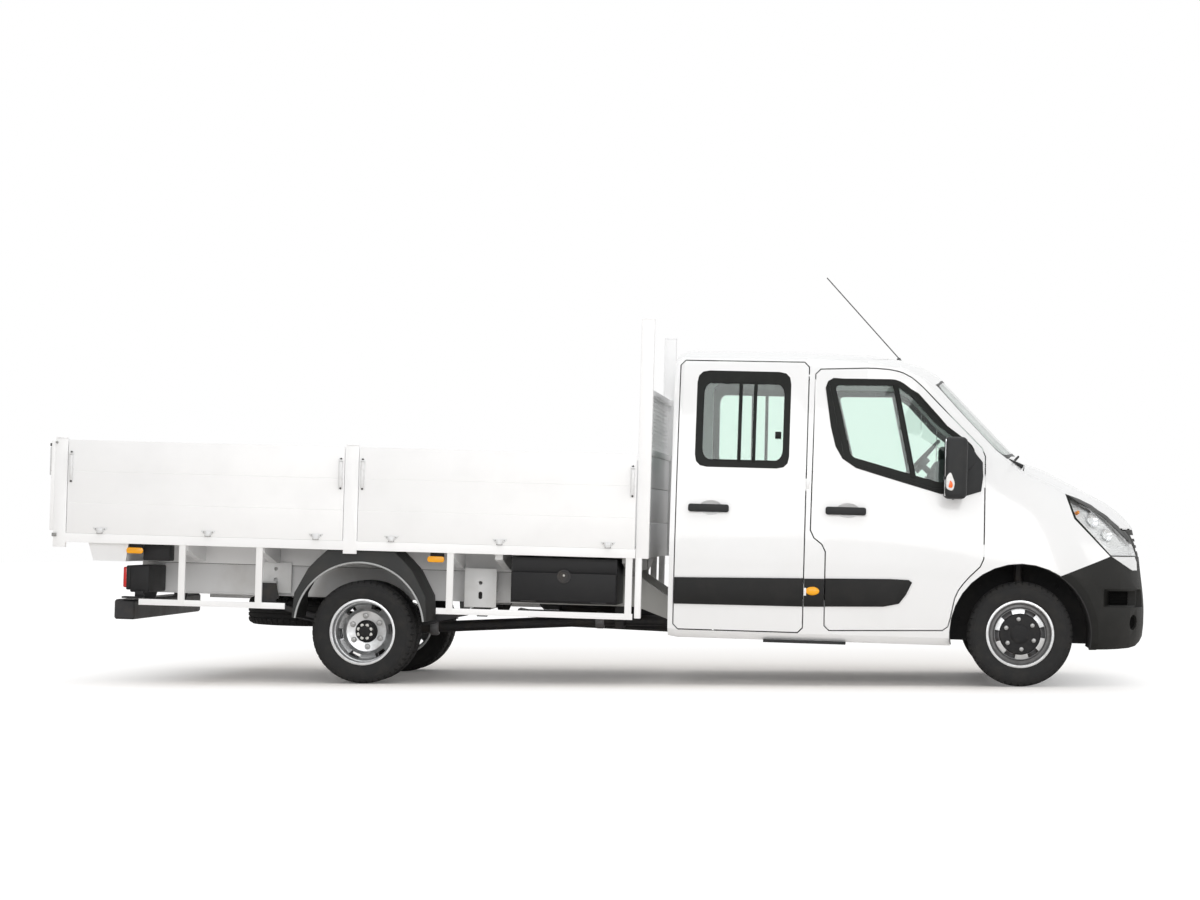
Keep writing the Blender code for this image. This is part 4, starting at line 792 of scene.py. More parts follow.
def latch(x):
    """A recess plate with its long handle, hinged at the foot and hooked at the top."""
    base = block((x - 0.015, x + 0.015), (-1.0660, -1.0600), (1.285, 1.495), 0.002)
    handle = block((x - 0.010, x + 0.010), (-1.0810, -1.0660), (1.300, 1.470), 0.004)
    hook = bar((x - 0.014, -1.0720, 1.478), (x + 0.014, -1.0720, 1.478), 0.0055, 16)
    return together([base, handle, hook])


def latch_screws(x):
    return together([bar((x, -1.0655, z), (x, -1.0700, z), 0.0075, 16, 0.006) for z in (1.2925, 1.4885)])


for place, rear, front in (("rear", -2.020, -0.135), ("front", -0.045, TRAY_FRONT)):
    panel = planked((rear + GAP, front - GAP), (-TRAY_HALF, -TRAY_HALF + 0.027),
                    (DECK_TOP + 0.0003, SIDE_TOP), (-TRAY_HALF, -TRAY_HALF + 0.027))
    spots = [rear + (front - rear) * share for share in (0.126, 0.516, 0.903)]
    ends = (rear + 0.028, front - 0.028)
    body = f"dropside_{place}"
    pair(panel, body, TRAY_WHITE, body, (body,), slot="white_alloy")
    pair(together([side_hinge(x) for x in spots]), f"dropside_hinges_{place}", HINGE_ZINC, body,
         slot="white_alloy")
    pair(together([hinge_pin(x) for x in spots]), f"dropside_pins_{place}", HINGE_DARK, body,
         slot="grey_frame")
    pair(together([latch(x) for x in ends]), f"dropside_latches_{place}", LATCH_GREY, body, slot="grey_frame")
    pair(together([latch_screws(x) for x in ends]), f"latch_screws_{place}", SCREW_DARK, body,
         slot="black_plastic")
GATE_X = (-2.132, TRAY_REAR - 0.0003)
gate = block(GATE_X, (-TRAY_HALF + 0.002, TRAY_HALF - 0.002), (0.960, 1.560), 0.003)
for groove in GROOVES:
    gate = cut(gate, bar((GATE_X[0], -1.2, groove + 0.004), (GATE_X[0], 1.2, groove + 0.004), 0.0042, 4))
dressed(gate, "tailgate", TRAY_WHITE, "tailgate", instead=("tailgate",), slot="white_alloy")
GATE_HINGES, GATE_DARK = [], []
for y in (-0.80, 0.0, 0.80):
    GATE_HINGES.append(plate([(-2.131, 1.032), (-2.1365, 1.030), (-2.1390, 0.995), (-2.1520, 0.972),
                              (-2.1520, 0.9625), (-2.131, 0.9625)], (y - 0.040, y + 0.040), "Y", 0.0015))
    GATE_DARK.append(bar((-2.1450, y - 0.048, 0.9660), (-2.1450, y + 0.048, 0.9660), 0.0050, 12))
    GATE_DARK += [bar((-2.1385, y + dy, 1.010), (-2.1410, y + dy, 1.010), 0.006, 12, 0.004)
                  for dy in (-0.025, 0.025)]
for y in (-1.020, 1.020):
    GATE_HINGES.append(block((-2.1490, -2.1320), (y - 0.014, y + 0.014), (1.330, 1.520), 0.004))
    GATE_DARK.append(block((-2.1500, -2.1330), (y - 0.018, y + 0.018), (1.524, 1.545), 0.004))
dressed(together(GATE_HINGES), "tailgate_hinges", HINGE_ZINC, "tailgate", slot="grey_frame")
dressed(together(GATE_DARK), "tailgate_pins", SCREW_DARK, "tailgate", slot="black_plastic")
POST_CLIPS = [block((-2.1130, -2.0800), (-1.0665, -1.0610), (0.9200, 0.9440), 0.002),
              bar((-2.0960, -1.0600, 1.5500), (-2.0960, -1.0700, 1.5500), 0.009, 16, 0.007)]
pair(together(POST_CLIPS), "post_clips", HINGE_DARK, slot="black_plastic")


# Headboard.
# Two box-section stanchions with welded caps, a planked lower panel, and above it a framed sheet of
# welded wire mesh that guards the cab's rear window; all under white powder coat.
HEAD_REAR, HEAD_FRONT, HEAD_TOP = 1.8103, 1.896, 2.466
MESH_LOW, MESH_HIGH = 1.612, 1.968
STANCHIONS = [block((HEAD_REAR, HEAD_FRONT), (side * 1.030, side * 0.975), (0.884, HEAD_TOP - 0.006), 0.006)
              for side in (-1, 1)]
STANCHIONS += [block((HEAD_REAR, HEAD_REAR + 0.042), (side * 1.030, side * 0.975), (0.490, 0.890), 0.005)
               for side in (-1, 1)]
CAPS = [block((HEAD_REAR, HEAD_FRONT), (side * 1.031, side * 0.974), (HEAD_TOP - 0.010, HEAD_TOP), 0.003)
        for side in (-1, 1)]
PANEL = [block((HEAD_REAR + 0.020, HEAD_FRONT - 0.030), (-0.976, 0.976), (low, high), 0.004)
         for low, high in ((0.885, 1.118), (1.1205, 1.353), (1.3555, 1.570))]
FRAME_BARS = [block((HEAD_REAR + 0.010, HEAD_FRONT - 0.020), (-0.976, 0.976), (z - 0.020, z + 0.020), 0.004)
              for z in (1.590, 1.990)]
dressed(together(STANCHIONS + CAPS + PANEL + FRAME_BARS), "headboard", TRAY_WHITE, instead=("headboard",),
        slot="white_alloy")
MESH_X = 0.5 * (HEAD_REAR + HEAD_FRONT) - 0.005
MESH_PITCH, WIRE = 0.0275, 0.0022
upright = bar((MESH_X, -0.9625, MESH_LOW - 0.01), (MESH_X, -0.9625, MESH_HIGH + 0.01), WIRE, 6)
crossing = bar((MESH_X + 0.003, -0.978, MESH_LOW + 0.005), (MESH_X + 0.003, 0.978, MESH_LOW + 0.005), WIRE, 6)
MESH_SHEET = [row(upright, [(0, MESH_PITCH * i, 0) for i in range(71)]),
              row(crossing, [(0, 0, MESH_PITCH * i) for i in range(13)])]
dressed(together(MESH_SHEET), "headboard_mesh", TRAY_WHITE, slot="white_alloy")


# Toolbox.
# A locker of black moulded plastic hung under the deck on the right, with a plain drop-down door on two
# hinges and one quarter-turn lock in the middle.
BOX_REAR, BOX_FRONT, BOX_LOW = 0.985, 1.690, 0.573
LOCK = (0.5 * (BOX_REAR + BOX_FRONT), 0.752)
LOCKER = Finish("locker_black", (0.008, 0.008, 0.009), 0.44, Specular_IOR_Level=0.25)
LOCKER.worn((0.018, 0.018, 0.017), 0.35, 7.0, 0.62)
LOCKER.bump(LOCKER.noise(260.0), 0.0007)
dressed(rounded_edges(solid_copy("toolbox"), 0.004), "toolbox", LOCKER, instead=("toolbox",),
        slot="black_plastic")
lid = block((BOX_REAR + 0.004, BOX_FRONT - 0.004), (-1.003, -0.9853), (BOX_LOW + 0.012, 0.776), 0.006, 3)
dressed(lid, "toolbox_door", LOCKER, "toolbox_door", instead=("toolbox_door",), slot="black_plastic")
escutcheon = turned([(0.0, -1.003), (0.046, -1.003), (0.046, -1.0070), (0.042, -1.0095), (0.034, -1.0095),
                     (0.030, -1.0060), (0.0, -1.0060)], (LOCK[0], 0, LOCK[1]), 40)
dressed(escutcheon, "toolbox_lock", STEEL_BLACK, "toolbox_door", slot="black_plastic")
paddle = bar((LOCK[0], -1.0055, LOCK[1] + 0.006), (LOCK[0], -1.0120, LOCK[1] + 0.006), 0.008, 20, 0.006)
dressed(paddle, "toolbox_key", ZINC, "toolbox_door", slot="silver_wheel")
LID_HINGES = [bar((x - 0.05, -1.0045, BOX_LOW + 0.010), (x + 0.05, -1.0045, BOX_LOW + 0.010), 0.0045, 12)
              for x in (BOX_REAR + 0.12, BOX_FRONT - 0.12)]
dressed(together(LID_HINGES), "toolbox_hinges", STEEL_BLACK, "toolbox_door", slot="black_steel")


# Rear mudguards.
# Folded and moulded guards over the twin wheels: faceted outside, closed on their outer face, with a
# round wheel cut-out that ends in a rolled lip, in dark grey plastic sheet; the lip's pale grey is a
# painted highlight.
GUARD_GREY = Finish("guard_grey", (0.030, 0.031, 0.031), 0.60, Specular_IOR_Level=0.3)
GUARD_GREY.worn((0.055, 0.052, 0.048), 0.5, 6.0, 0.8)
GUARD_GREY.bump(GUARD_GREY.noise(240.0), 0.0008)
# The lip's pale grey is a painted highlight along its rolled edge.
LIP_HIGHLIGHT = Finish("lip_painted_highlight", (0.40, 0.41, 0.41), 0.45)
LIP_HIGHLIGHT.worn((0.28, 0.27, 0.26), 0.5, 18.0, 0.6)
GUARD_X, GUARD_Z, GUARD_ROUND = -0.020, 0.370, 0.440
CONTOUR = ((0.452, 0.425), (0.440, 0.590), (0.350, 0.757), (0.290, 0.822), (0.222, 0.8842))


def guard_outline(inset=0.0):
    right = [(GUARD_X + x - inset, z - (inset if z > 0.5 else 0)) for x, z in CONTOUR]
    return right + [(2 * GUARD_X - x, z) for x, z in reversed(right)]


guard = plate(guard_outline(), (-1.032, -0.585), edge=0.004)
guard = cut(guard, plate(guard_outline(0.008), (-1.024, -0.50)),
            bar((GUARD_X, -1.2, GUARD_Z), (GUARD_X, -0.4, GUARD_Z), GUARD_ROUND, 96))
pair(guard, "mudguard", GUARD_GREY, instead=("mudguard",), slot="black_plastic")
LIP_ENDS = math.degrees(math.asin((0.425 - GUARD_Z) / GUARD_ROUND))
lip = turned([(GUARD_ROUND - 0.0055 + 0.0065 * math.cos(a), -1.0330 + 0.0065 * math.sin(a))
              for a in [2 * math.pi * i / 10 for i in range(10)]], (GUARD_X, 0, GUARD_Z), 96,
             angle=180 - 2 * LIP_ENDS, start=-LIP_ENDS)
pair(lip, "mudguard_lip", LIP_HIGHLIGHT, slot="grey_frame")


# Tail lamps and marker lamps.
# Black moulded lamp bodies on the rail ends with three-part lenses, red outermost, and small amber side
# markers on black plates screwed up under the deck's edge.
CHASSIS_PLASTIC = Finish("moulded_black", (0.016, 0.016, 0.017), 0.55, Specular_IOR_Level=0.25)
CHASSIS_PLASTIC.worn((0.034, 0.033, 0.031), 0.4, 9.0, 0.72)
CHASSIS_PLASTIC.bump(CHASSIS_PLASTIC.noise(300.0), 0.0008)


def lens(name, colour):
    finish = Finish(name, colour, 0.08, Coat_Weight=0.5, Coat_Roughness=0.04, Specular_IOR_Level=0.3)
    ribs = finish.axis("Z").wave(0.0065) * 0.5 + finish.axis("Y").wave(0.0065) * 0.5
    finish.bump(ribs, 0.0008, 0.6)
    finish.set("Base Color", finish.mixed(finish.axis("Z").wave(0.026) * 0.25, colour,
                                          [0.7 * part for part in colour]))
    return finish


def softened(outline, radius):
    """An outline with each corner drawn as an arc."""
    result, steps = [], 6
    for i, point in enumerate(outline):
        here = Vector(point)
        back = Vector(outline[i - 1]) - here
        ahead = Vector(outline[(i + 1) % len(outline)]) - here
        reach = min(radius, back.length / 2.2, ahead.length / 2.2)
        start, end = here + back.normalized() * reach, here + ahead.normalized() * reach
        for step in range(steps + 1):
            t = step / steps
            result.append(tuple(start * (1 - t) ** 2 + here * 2 * t * (1 - t) + end * t ** 2))
    return result


RED_LENS = lens("red_lens", (0.62, 0.016, 0.012))
AMBER_LENS = lens("amber_lens", (1.0, 0.43, 0.002))
CLEAR_LENS = lens("clear_lens", (0.82, 0.83, 0.83))
housing = block((-1.600, -1.470), (-0.940, -0.4726), (0.560, 0.740), 0.010)
bezel = block((-1.628, -1.598), (-0.938, -0.590), (0.575, 0.738), 0.008)
pair(together([housing, bezel]), "tail_lamp", CHASSIS_PLASTIC, instead=("tail_lamp",), slot="black_plastic")
for shade, face, span, finish, slot in (("red", -1.650, (-0.9350, -0.8200), RED_LENS, "red_lens"),
                                        ("amber", -1.648, (-0.8180, -0.7200), AMBER_LENS, "red_lens"),
                                        ("clear", -1.648, (-0.7180, -0.6050), CLEAR_LENS, "lamp_lens")):
    pair(block((face, -1.620), span, (0.590, 0.728), 0.010, 3), f"tail_lens_{shade}", finish, slot=slot)
MARKER_SPOTS = (-1.557, 0.481)
MARKERS = [plate(softened(((x - 0.057, 0.820), (x + 0.057, 0.820), (x + 0.057, 0.860), (x - 0.057, 0.860)),
                          0.018),
                 (-1.0100, -0.9950), edge=0.004) for x in MARKER_SPOTS]
pair(together(MARKERS), "side_markers", AMBER_LENS, slot="lamp_lens")
pair(together([block((x - 0.040, x + 0.052), (-0.9960, -0.9700), (0.826, 0.8855), 0.004)
               for x in MARKER_SPOTS]
              + [block((-1.510, -1.330), (-0.960, -0.820), (0.775, 0.8855), 0.008)]),
     "marker_plates", CHASSIS_PLASTIC, slot="black_plastic")
pair(together([block((-1.640, -1.500), (-1.000, -0.930), (0.520, 0.5320), 0.004),
               block((-1.560, -1.500), (-0.960, -0.930), (0.532, 0.5700), 0.004)]), "tail_step",
     CHASSIS_PLASTIC, slot="black_plastic")


# Cab body.
# A pressed and spot-welded steel double cab in white gloss enamel: shell, four doors and bonnet, with
# even shut lines between them and a dished cup pressed in behind each door handle.
def enamel():
    finish = Finish("white_enamel", (0.84, 0.845, 0.85), 0.24, Coat_Weight=0.8, Coat_Roughness=0.05)
    finish.worn((0.79, 0.79, 0.785), 0.4, 2.2, 0.30)
    finish.bump(finish.noise(650.0, 2.0), 0.00006)
    return finish


ENAMEL = enamel()
# Sections of the skin: x, floor, waist height and half width, shoulder height and half width, crown
SECTIONS = (
    (2.030, 0.385, 0.95, 1.027, 2.190, 0.875, 2.292), (2.095, 0.375, 0.95, 1.035, 2.220, 0.887, 2.315),
    (2.900, 0.375, 0.95, 1.035, 2.225, 0.887, 2.322), (3.300, 0.375, 0.95, 1.035, 2.215, 0.885, 2.305),
    (3.510, 0.375, 0.95, 1.035, 2.190, 0.880, 2.276), (3.660, 0.375, 0.95, 1.034, 2.120, 0.872, 2.236),
    (3.766, 0.375, 0.95, 1.033, 2.030, 0.872, 2.183), (3.950, 0.375, 0.94, 1.031, 1.845, 0.880, 1.998),
    (4.150, 0.375, 0.92, 1.028, 1.640, 0.895, 1.797), (4.343, 0.375, 0.90, 1.020, 1.500, 0.905, 1.603),
    (4.480, 0.375, 0.88, 1.010, 1.440, 0.890, 1.560), (4.617, 0.374, 0.86, 0.992, 1.375, 0.865, 1.492),
    (4.780, 0.374, 0.83, 0.957, 1.290, 0.820, 1.412), (4.893, 0.376, 0.80, 0.912, 1.205, 0.775, 1.358),
    (4.973, 0.380, 0.77, 0.862, 1.125, 0.720, 1.308), (5.050, 0.386, 0.73, 0.782, 1.030, 0.640, 1.245),
    (5.099, 0.398, 0.69, 0.700, 0.950, 0.555, 1.190), (5.135, 0.425, 0.66, 0.600, 0.860, 0.470, 1.060),
    (5.163, 0.458, 0.62, 0.470, 0.740, 0.370, 0.860), (5.175, 0.490, 0.60, 0.330, 0.670, 0.260, 0.720))


def skin_form():
    """The cab's skin as one fine loft of its sections."""
    points = []
    for x, floor, waist_z, waist, shoulder_z, shoulder, crown in SECTIONS:
        line = [(waist - 0.035, floor + 0.05), (waist - 0.006, (floor + waist_z) / 2), (waist, waist_z)]
        line += [(waist - (waist - shoulder) * t ** 1.6, waist_z + (shoulder_z - waist_z) * t)
                 for t in (0.34, 0.67, 1.0)]
        line += [(shoulder * t, shoulder_z + (crown - shoulder_z) * (1 - t ** 2.4))
                 for t in (0.94, 0.82, 0.60, 0.32)]
        points += [(x, -y, z) for y, z in line] + [(x, 0.0, crown)] + [(x, y, z) for y, z in reversed(line)]
    fresh()
    bpy.ops.mesh.primitive_grid_add(x_subdivisions=len(points) // len(SECTIONS) - 1,
                                    y_subdivisions=len(SECTIONS) - 1)
    form = bpy.context.object
    for vertex, point in zip(form.data.vertices, points):
        vertex.co = RAKED @ Vector(point)
    return modified(form, "SUBSURF", levels=2)


FORM = skin_form()
FORM_TREE = BVHTree.FromObject(FORM, bpy.context.evaluated_depsgraph_get())
FORM_SKIN = FORM.data
bpy.data.objects.remove(FORM)


def form_normal(point, outward):
    """The skin's smooth normal nearest a point, and the distance to it."""
    place, facing, index, distance = FORM_TREE.find_nearest(point)
    facing = Vector((0, 0, 0))
    for i in FORM_SKIN.polygons[index].vertices:
        corner = FORM_SKIN.vertices[i]
        facing += corner.normal / (0.002 + (corner.co - place).length)
    facing.normalize()
    return (facing if facing.dot(outward) > 0 else -facing), distance


def sleek(panels, reach=0.006):
    """Gives panels the smooth shading of the cab's skin where they lie on it."""
    for panel in panels:
        mesh = panel.data
        normals = [corner.vector.copy() for corner in mesh.corner_normals]
        for face in mesh.polygons:
            facing, distance = form_normal(face.center, face.center - Vector((face.center.x, 0, 0.9)))
            if distance < reach and facing.dot(face.normal) > 0.92:
                for corner in face.loop_indices:
                    point = mesh.vertices[mesh.loops[corner].vertex_index].co
                    normals[corner] = form_normal(point, face.normal)[0]
        mesh.normals_split_custom_set(normals)


def panel_edged(panel):
    """A panel with the fine radius that its pressing leaves along every edge."""
    return rounded_edges(panel, 0.0010, 2, 40)


def dome(place, size, segments):
    """A ball with this half size along each axis."""
    fresh()
    bpy.ops.mesh.primitive_uv_sphere_add(segments=segments, ring_count=segments // 2, radius=1.0,
                                         location=place)
    bpy.context.object.scale = size
    return settled()


HANDLES = {"rear": (2.149, 2.416, 1.230), "front": (3.048, 3.313, 1.234)}
sleek([dressed(panel_edged(solid_copy(name)), name, ENAMEL, body, instead=(name,), slot="white_paint")
       for name, body in (("cab_shell", "root"), ("bonnet", "bonnet"))], 0.025)
for place, (rear, front, height) in HANDLES.items():
    cup = dome((rear * 0.45 + front * 0.55, -1.030, height + 0.006), (0.084, 0.030, 0.054), 48)
    door = panel_edged(cut(solid_copy(f"door_{place}_right"), cup))
    sleek(pair(door, f"door_{place}", ENAMEL, f"door_{place}", (f"door_{place}",), slot="white_paint"))


# Door furniture.
# Black moulded pull handles over the cups, wide black rubbing strips clipped along the doors and the
# pillar between them, an amber marker on that pillar, and the fixed leaves of the rear door's hinges.
TRIM = Finish("trim_black", (0.020, 0.021, 0.022), 0.46, Specular_IOR_Level=0.25)
TRIM.worn((0.036, 0.036, 0.035), 0.4, 11.0, 0.6)
TRIM.bump(TRIM.noise(520.0, 2.0), 0.0005)
STRIP_BLACK = Finish("strip_black", (0.012, 0.012, 0.012), 0.50, Specular_IOR_Level=0.2)
STRIP_BLACK.worn((0.022, 0.021, 0.020), 0.5, 8.0, 0.62)
STRIP_BLACK.bump(STRIP_BLACK.noise(480.0, 2.0), 0.0006)


def skin(source, outline, thickness, facing=(0, -1, 0), edge=0.0015):
    """A thin piece that lies on a panel: the panel's outer faces within a convex outline, thickened."""
    piece = solid_copy(source)
    out = Vector(facing)
    choose(piece, lambda face: face.normal.dot(out) < 0.35)
    bpy.ops.mesh.delete(type="FACE")
    count = len(outline)
    middle = Vector((sum(x for x, z in outline) / count, 0, sum(z for x, z in outline) / count))
    for i in range(count):
        start = Vector((outline[i][0], 0, outline[i][1]))
        end = Vector((outline[(i + 1) % count][0], 0, outline[(i + 1) % count][1]))
        normal = Vector((end.z - start.z, 0, start.x - end.x)).normalized()
        if normal.dot(middle - start) > 0:
            normal.negate()
        bpy.ops.mesh.select_all(action="SELECT")
        bpy.ops.mesh.bisect(plane_co=start, plane_no=normal, clear_outer=True)
    bpy.ops.mesh.select_all(action="SELECT")
    bpy.ops.mesh.delete_loose()
    bpy.ops.object.mode_set(mode="OBJECT")
    modified(piece, "SOLIDIFY", thickness=thickness, offset=1.0)
    return rounded_edges(piece, edge) if edge else piece


def outer_only(piece, limit):
    """Drops what lies further in than a distance from the middle of the truck."""
    choose(piece, lambda face: abs(face.center.y) < limit)
    bpy.ops.mesh.delete(type="FACE")
    bpy.ops.object.mode_set(mode="OBJECT")
    return piece


STRIP = ((2.050, 0.597), (2.900, 0.603), (3.440, 0.618), (3.540, 0.640), (3.585, 0.700), (3.622, 0.780),
         (3.600, 0.796), (3.480, 0.799), (2.050, 0.770))
for place in ("rear", "front"):
    pair(outer_only(skin(f"door_{place}_right", STRIP, 0.009), 0.98), f"rub_strip_{place}", STRIP_BLACK,
         f"door_{place}", slot="black_plastic")
pair(outer_only(skin("cab_shell", ((2.921, 0.603), (3.056, 0.606), (3.056, 0.788), (2.921, 0.785)), 0.009),
                0.98),
     "rub_strip_pillar", STRIP_BLACK, slot="black_plastic")
MARKER = dome((2.976, -1.036, 0.706), (0.046, 0.016, 0.028), 40)
pair(rounded_edges(MARKER, 0.0004, 1, 60), "pillar_marker", AMBER_LENS, slot="lamp_lens")
for place, (rear, front, height) in HANDLES.items():
    shape = ((rear, height - 0.026), (front, height - 0.026), (front, height + 0.026), (rear, height + 0.026))
    grip = plate(softened(shape, 0.018), (-1.0560, -1.0400), edge=0.004)
    posts = [block((x - 0.020, x + 0.020), (-1.0450, -1.0050), (height - 0.014, height + 0.014), 0.006, 3)
             for x in (rear + 0.024, front - 0.024)]
    pair(together([grip] + posts), f"door_handle_{place}", TRIM, f"door_{place}", slot="black_plastic")
SILL_STEPS = [block((2.66, 3.20), (side * 0.985, side * 0.955), (0.3600, 0.3800), 0.003) for side in (-1, 1)]
dressed(together(SILL_STEPS), "sill_steps", TRIM, slot="black_plastic")
PILLAR_LEAVES = [block((2.920, 2.936), (-reach, -reach + 0.050), (height - 0.026, height + 0.026), 0.004, 3)
                 for height, reach in ((0.700, 1.047), (1.400, 1.022))]
pair(together(PILLAR_LEAVES), "rear_hinge_leaves", ENAMEL, slot="white_paint")


# Cab glazing.
# Green-tinted toughened panes with black ceramic borders; the rear side windows slide in thin black
# runners, and the front ones have a fixed quarter light behind a slanted bar.
def glass(name, colour):
    finish = Finish(name, colour, 0.02, IOR=1.45, Transmission_Weight=1.0)
    smear = finish.ramp(finish.noise(5.0, 5.0), 0.5, 0.8)
    finish.set("Roughness", smear * 0.05 + 0.012)
    return finish


GLASS = glass("green_glass", (0.78, 0.90, 0.84))
SCREEN_GLASS = glass("screen_glass", (0.80, 0.88, 0.84))
RUBBER_SEAL = Finish("seal_black", (0.010, 0.011, 0.010), 0.35, Specular_IOR_Level=0.12)
RUBBER_SEAL.worn((0.020, 0.022, 0.020), 0.4, 15.0, 0.45)
for side, label in SIDES:
    for place in ("front", "rear"):
        repaint(f"door_glass_{place}_{label}", GLASS)
repaint("windscreen", SCREEN_GLASS)
repaint("rear_window", GLASS)


def border(pane, outer, inner, thickness=0.004):
    """The black border of a pane: its outer skin with the clear part cut out."""
    return cut(skin(pane, outer, thickness, edge=0.0), plate(inner, (-1.4, -0.4)))


REAR_WINDOW = ((2.170, 1.490), (2.810, 1.490), (2.810, 2.150), (2.170, 2.150))
REAR_CLEAR = softened(((2.228, 1.545), (2.756, 1.545), (2.756, 2.066), (2.228, 2.066)), 0.085)


def runner(x, z, thickness):
    """A black channel on the rear door's pane, between these limits."""
    corners = ((x[0], z[0]), (x[1], z[0]), (x[1], z[1]), (x[0], z[1]))
    return skin("door_glass_rear_right", corners, thickness, edge=0.001)


RUNNERS = [runner(x, (1.535, 2.075), 0.009) for x in ((2.458, 2.482), (2.556, 2.578))]
RUNNERS += [runner((2.226, 2.758), z, 0.006) for z in ((1.543, 1.552), (2.056, 2.068))]
pair(border("door_glass_rear_right", REAR_WINDOW, REAR_CLEAR, 0.007), "rear_window_seal", RUBBER_SEAL,
     "door_rear", slot="black_plastic")
CATCH = block((2.704, 2.744), (-0.9820, -0.9600), (1.697, 1.743), 0.004)
pair(together(RUNNERS + [CATCH]), "rear_window_runners", RUBBER_SEAL, "door_rear", slot="black_plastic")
FRONT_WIDE = ((3.000, 1.300), (4.060, 1.300), (4.060, 2.150), (3.000, 2.150))
FRONT_CLEAR = softened(((3.205, 1.592), (3.800, 1.432), (3.975, 1.575), (3.972, 1.662), (3.752, 1.822),
                        (3.582, 2.006), (3.485, 2.068), (3.088, 2.062)), 0.035)
pair(border("door_glass_front_right", FRONT_WIDE, FRONT_CLEAR, 0.007), "front_window_seal", RUBBER_SEAL,
     "door_front", slot="black_plastic")
FRONT_BAND = ((3.026, 2.042), (3.041, 2.086), (3.076, 2.108), (3.506, 2.093), (3.636, 2.019), (3.767, 1.878),
              (3.885, 1.745), (3.950, 1.600), (3.900, 1.400), (3.842, 1.363), (3.791, 1.362), (3.625, 1.408),
              (3.420, 1.465), (3.240, 1.517), (3.149, 1.576), (3.101, 1.657), (3.067, 1.785))
pair(outer_only(skin("door_front_right", FRONT_BAND, 0.0030, edge=0.0), 0.88), "front_window_band",
     RUBBER_SEAL, "door_front", slot="black_plastic")
QUARTER_BAR = ((3.463, 2.075), (3.500, 2.075), (3.634, 1.455), (3.596, 1.465))
pair(skin("door_glass_front_right", QUARTER_BAR, 0.009, edge=0.001), "quarter_bar", RUBBER_SEAL, "door_front",
     slot="black_plastic")
SAIL = ((3.868, 1.325), (4.055, 1.385), (4.066, 1.480), (4.062, 1.575), (3.930, 1.735), (3.905, 1.730))
pair(together([outer_only(skin("door_front_right", SAIL, 0.010), 0.90),
               skin("door_glass_front_right", SAIL, 0.020)]), "mirror_sail", TRIM, "door_front",
     slot="black_plastic")


# Screen border, scuttle and wipers.
# A black ceramic band printed round the windscreen, a black moulding along its foot that drains the
# scuttle, and two sprung black wiper arms parked on the glass.
def across_skin(source, outline, thickness, facing):
    """As skin, with the outline seen from the front: y, z."""
    piece = solid_copy(source)
    out = Vector(facing)
    choose(piece, lambda face: face.normal.dot(out) < 0.35)
    bpy.ops.mesh.delete(type="FACE")
    bpy.ops.object.mode_set(mode="OBJECT")
    modified(piece, "SOLIDIFY", thickness=thickness, offset=1.0)
    return cut(piece, plate(outline, (1.5, 5.0), "X"))


SCREEN_CLEAR = [(-0.815, 1.632), (-0.40, 1.652), (0.0, 1.662), (0.40, 1.652), (0.815, 1.632), (0.785, 1.900),
                (0.735, 2.078), (0.46, 2.116), (0.0, 2.134), (-0.46, 2.116), (-0.735, 2.078), (-0.785, 1.900)]
dressed(across_skin("windscreen", softened(SCREEN_CLEAR, 0.05), 0.0015, (0.6, 0, 0.8)), "screen_border",
        RUBBER_SEAL, slot="black_plastic")
REAR_SCREEN_CLEAR = softened(((-0.555, 1.530), (0.555, 1.530), (0.520, 1.915), (-0.520, 1.915)), 0.06)
dressed(across_skin("rear_window", REAR_SCREEN_CLEAR, 0.003, (-1, 0, 0)), "rear_screen_seal", RUBBER_SEAL,
        slot="black_plastic")


def wiper(pivot, reach, rise):
    """An arm from its pivot along the foot of the screen, with its blade."""
    x, y, z = pivot
    tip = (x - rise * 0.9, y - reach, z + rise)
    elbow = (x - 0.015, y - 0.09, z + 0.020)
    arm = pipe([pivot, elbow, tip], 0.0055)
    cap = bar((x, y, z - 0.01), (x + 0.004, y, z + 0.016), 0.016, 20, 0.012, edge=0.002)
    blade = block((-0.005, 0.005), (-reach * 0.62, reach * 0.62), (-0.008, 0.006), 0.002)
    blade.data.transform(Matrix.Translation(tip) @ Matrix.Rotation(math.atan2(rise, reach) * -0.35, 4, "X"))
    return together([arm, cap, blade])


COWL = plate([(4.205, 1.624), (4.262, 1.600), (4.335, 1.570), (4.330, 1.552), (4.258, 1.578), (4.198, 1.606)],
             (-0.80, 0.80), edge=0.001)
WIPERS = [wiper((4.300, 0.330, 1.590), 0.50, 0.030), wiper((4.310, -0.330, 1.585), 0.46, 0.026)]
dressed(together([COWL] + WIPERS), "wipers", TRIM, slot="black_plastic")


# Bumper, grille and headlamps.
# One dark grained moulding wraps the nose and takes in the slatted grille, the corner pockets and the fog
# lamp recesses; each headlamp is a clear cover over a pale bucket with two bright bowls and an amber bulb.
BUMPER_GREY = Finish("bumper_grey", (0.017, 0.017, 0.016), 0.58, Specular_IOR_Level=0.2)
BUMPER_GREY.worn((0.034, 0.033, 0.031), 0.45, 7.0, 0.70)
BUMPER_GREY.bump(BUMPER_GREY.noise(420.0, 2.0), 0.0007)
POCKET = [(4.845, -1.000), (4.872, -0.884), (5.000, -0.800), (5.062, -0.700), (5.110, -0.560),
          (5.300, -0.560), (5.300, -1.000)]
SLOT = [(4.893, -1.000), (4.905, -0.820), (4.985, -0.720), (5.040, -0.610), (5.300, -0.600), (5.300, -1.000)]
FOG_OUT = Vector((0.74, -0.67, 0.0)).normalized()
FOG = Vector((5.075, -0.735, 0.556))
moulding = solid_copy("front_bumper")
POCKET_VANE = [(4.912, -0.836), (4.990, -0.735), (5.046, -0.620), (5.036, -0.620), (4.984, -0.725),
               (4.906, -0.826)]
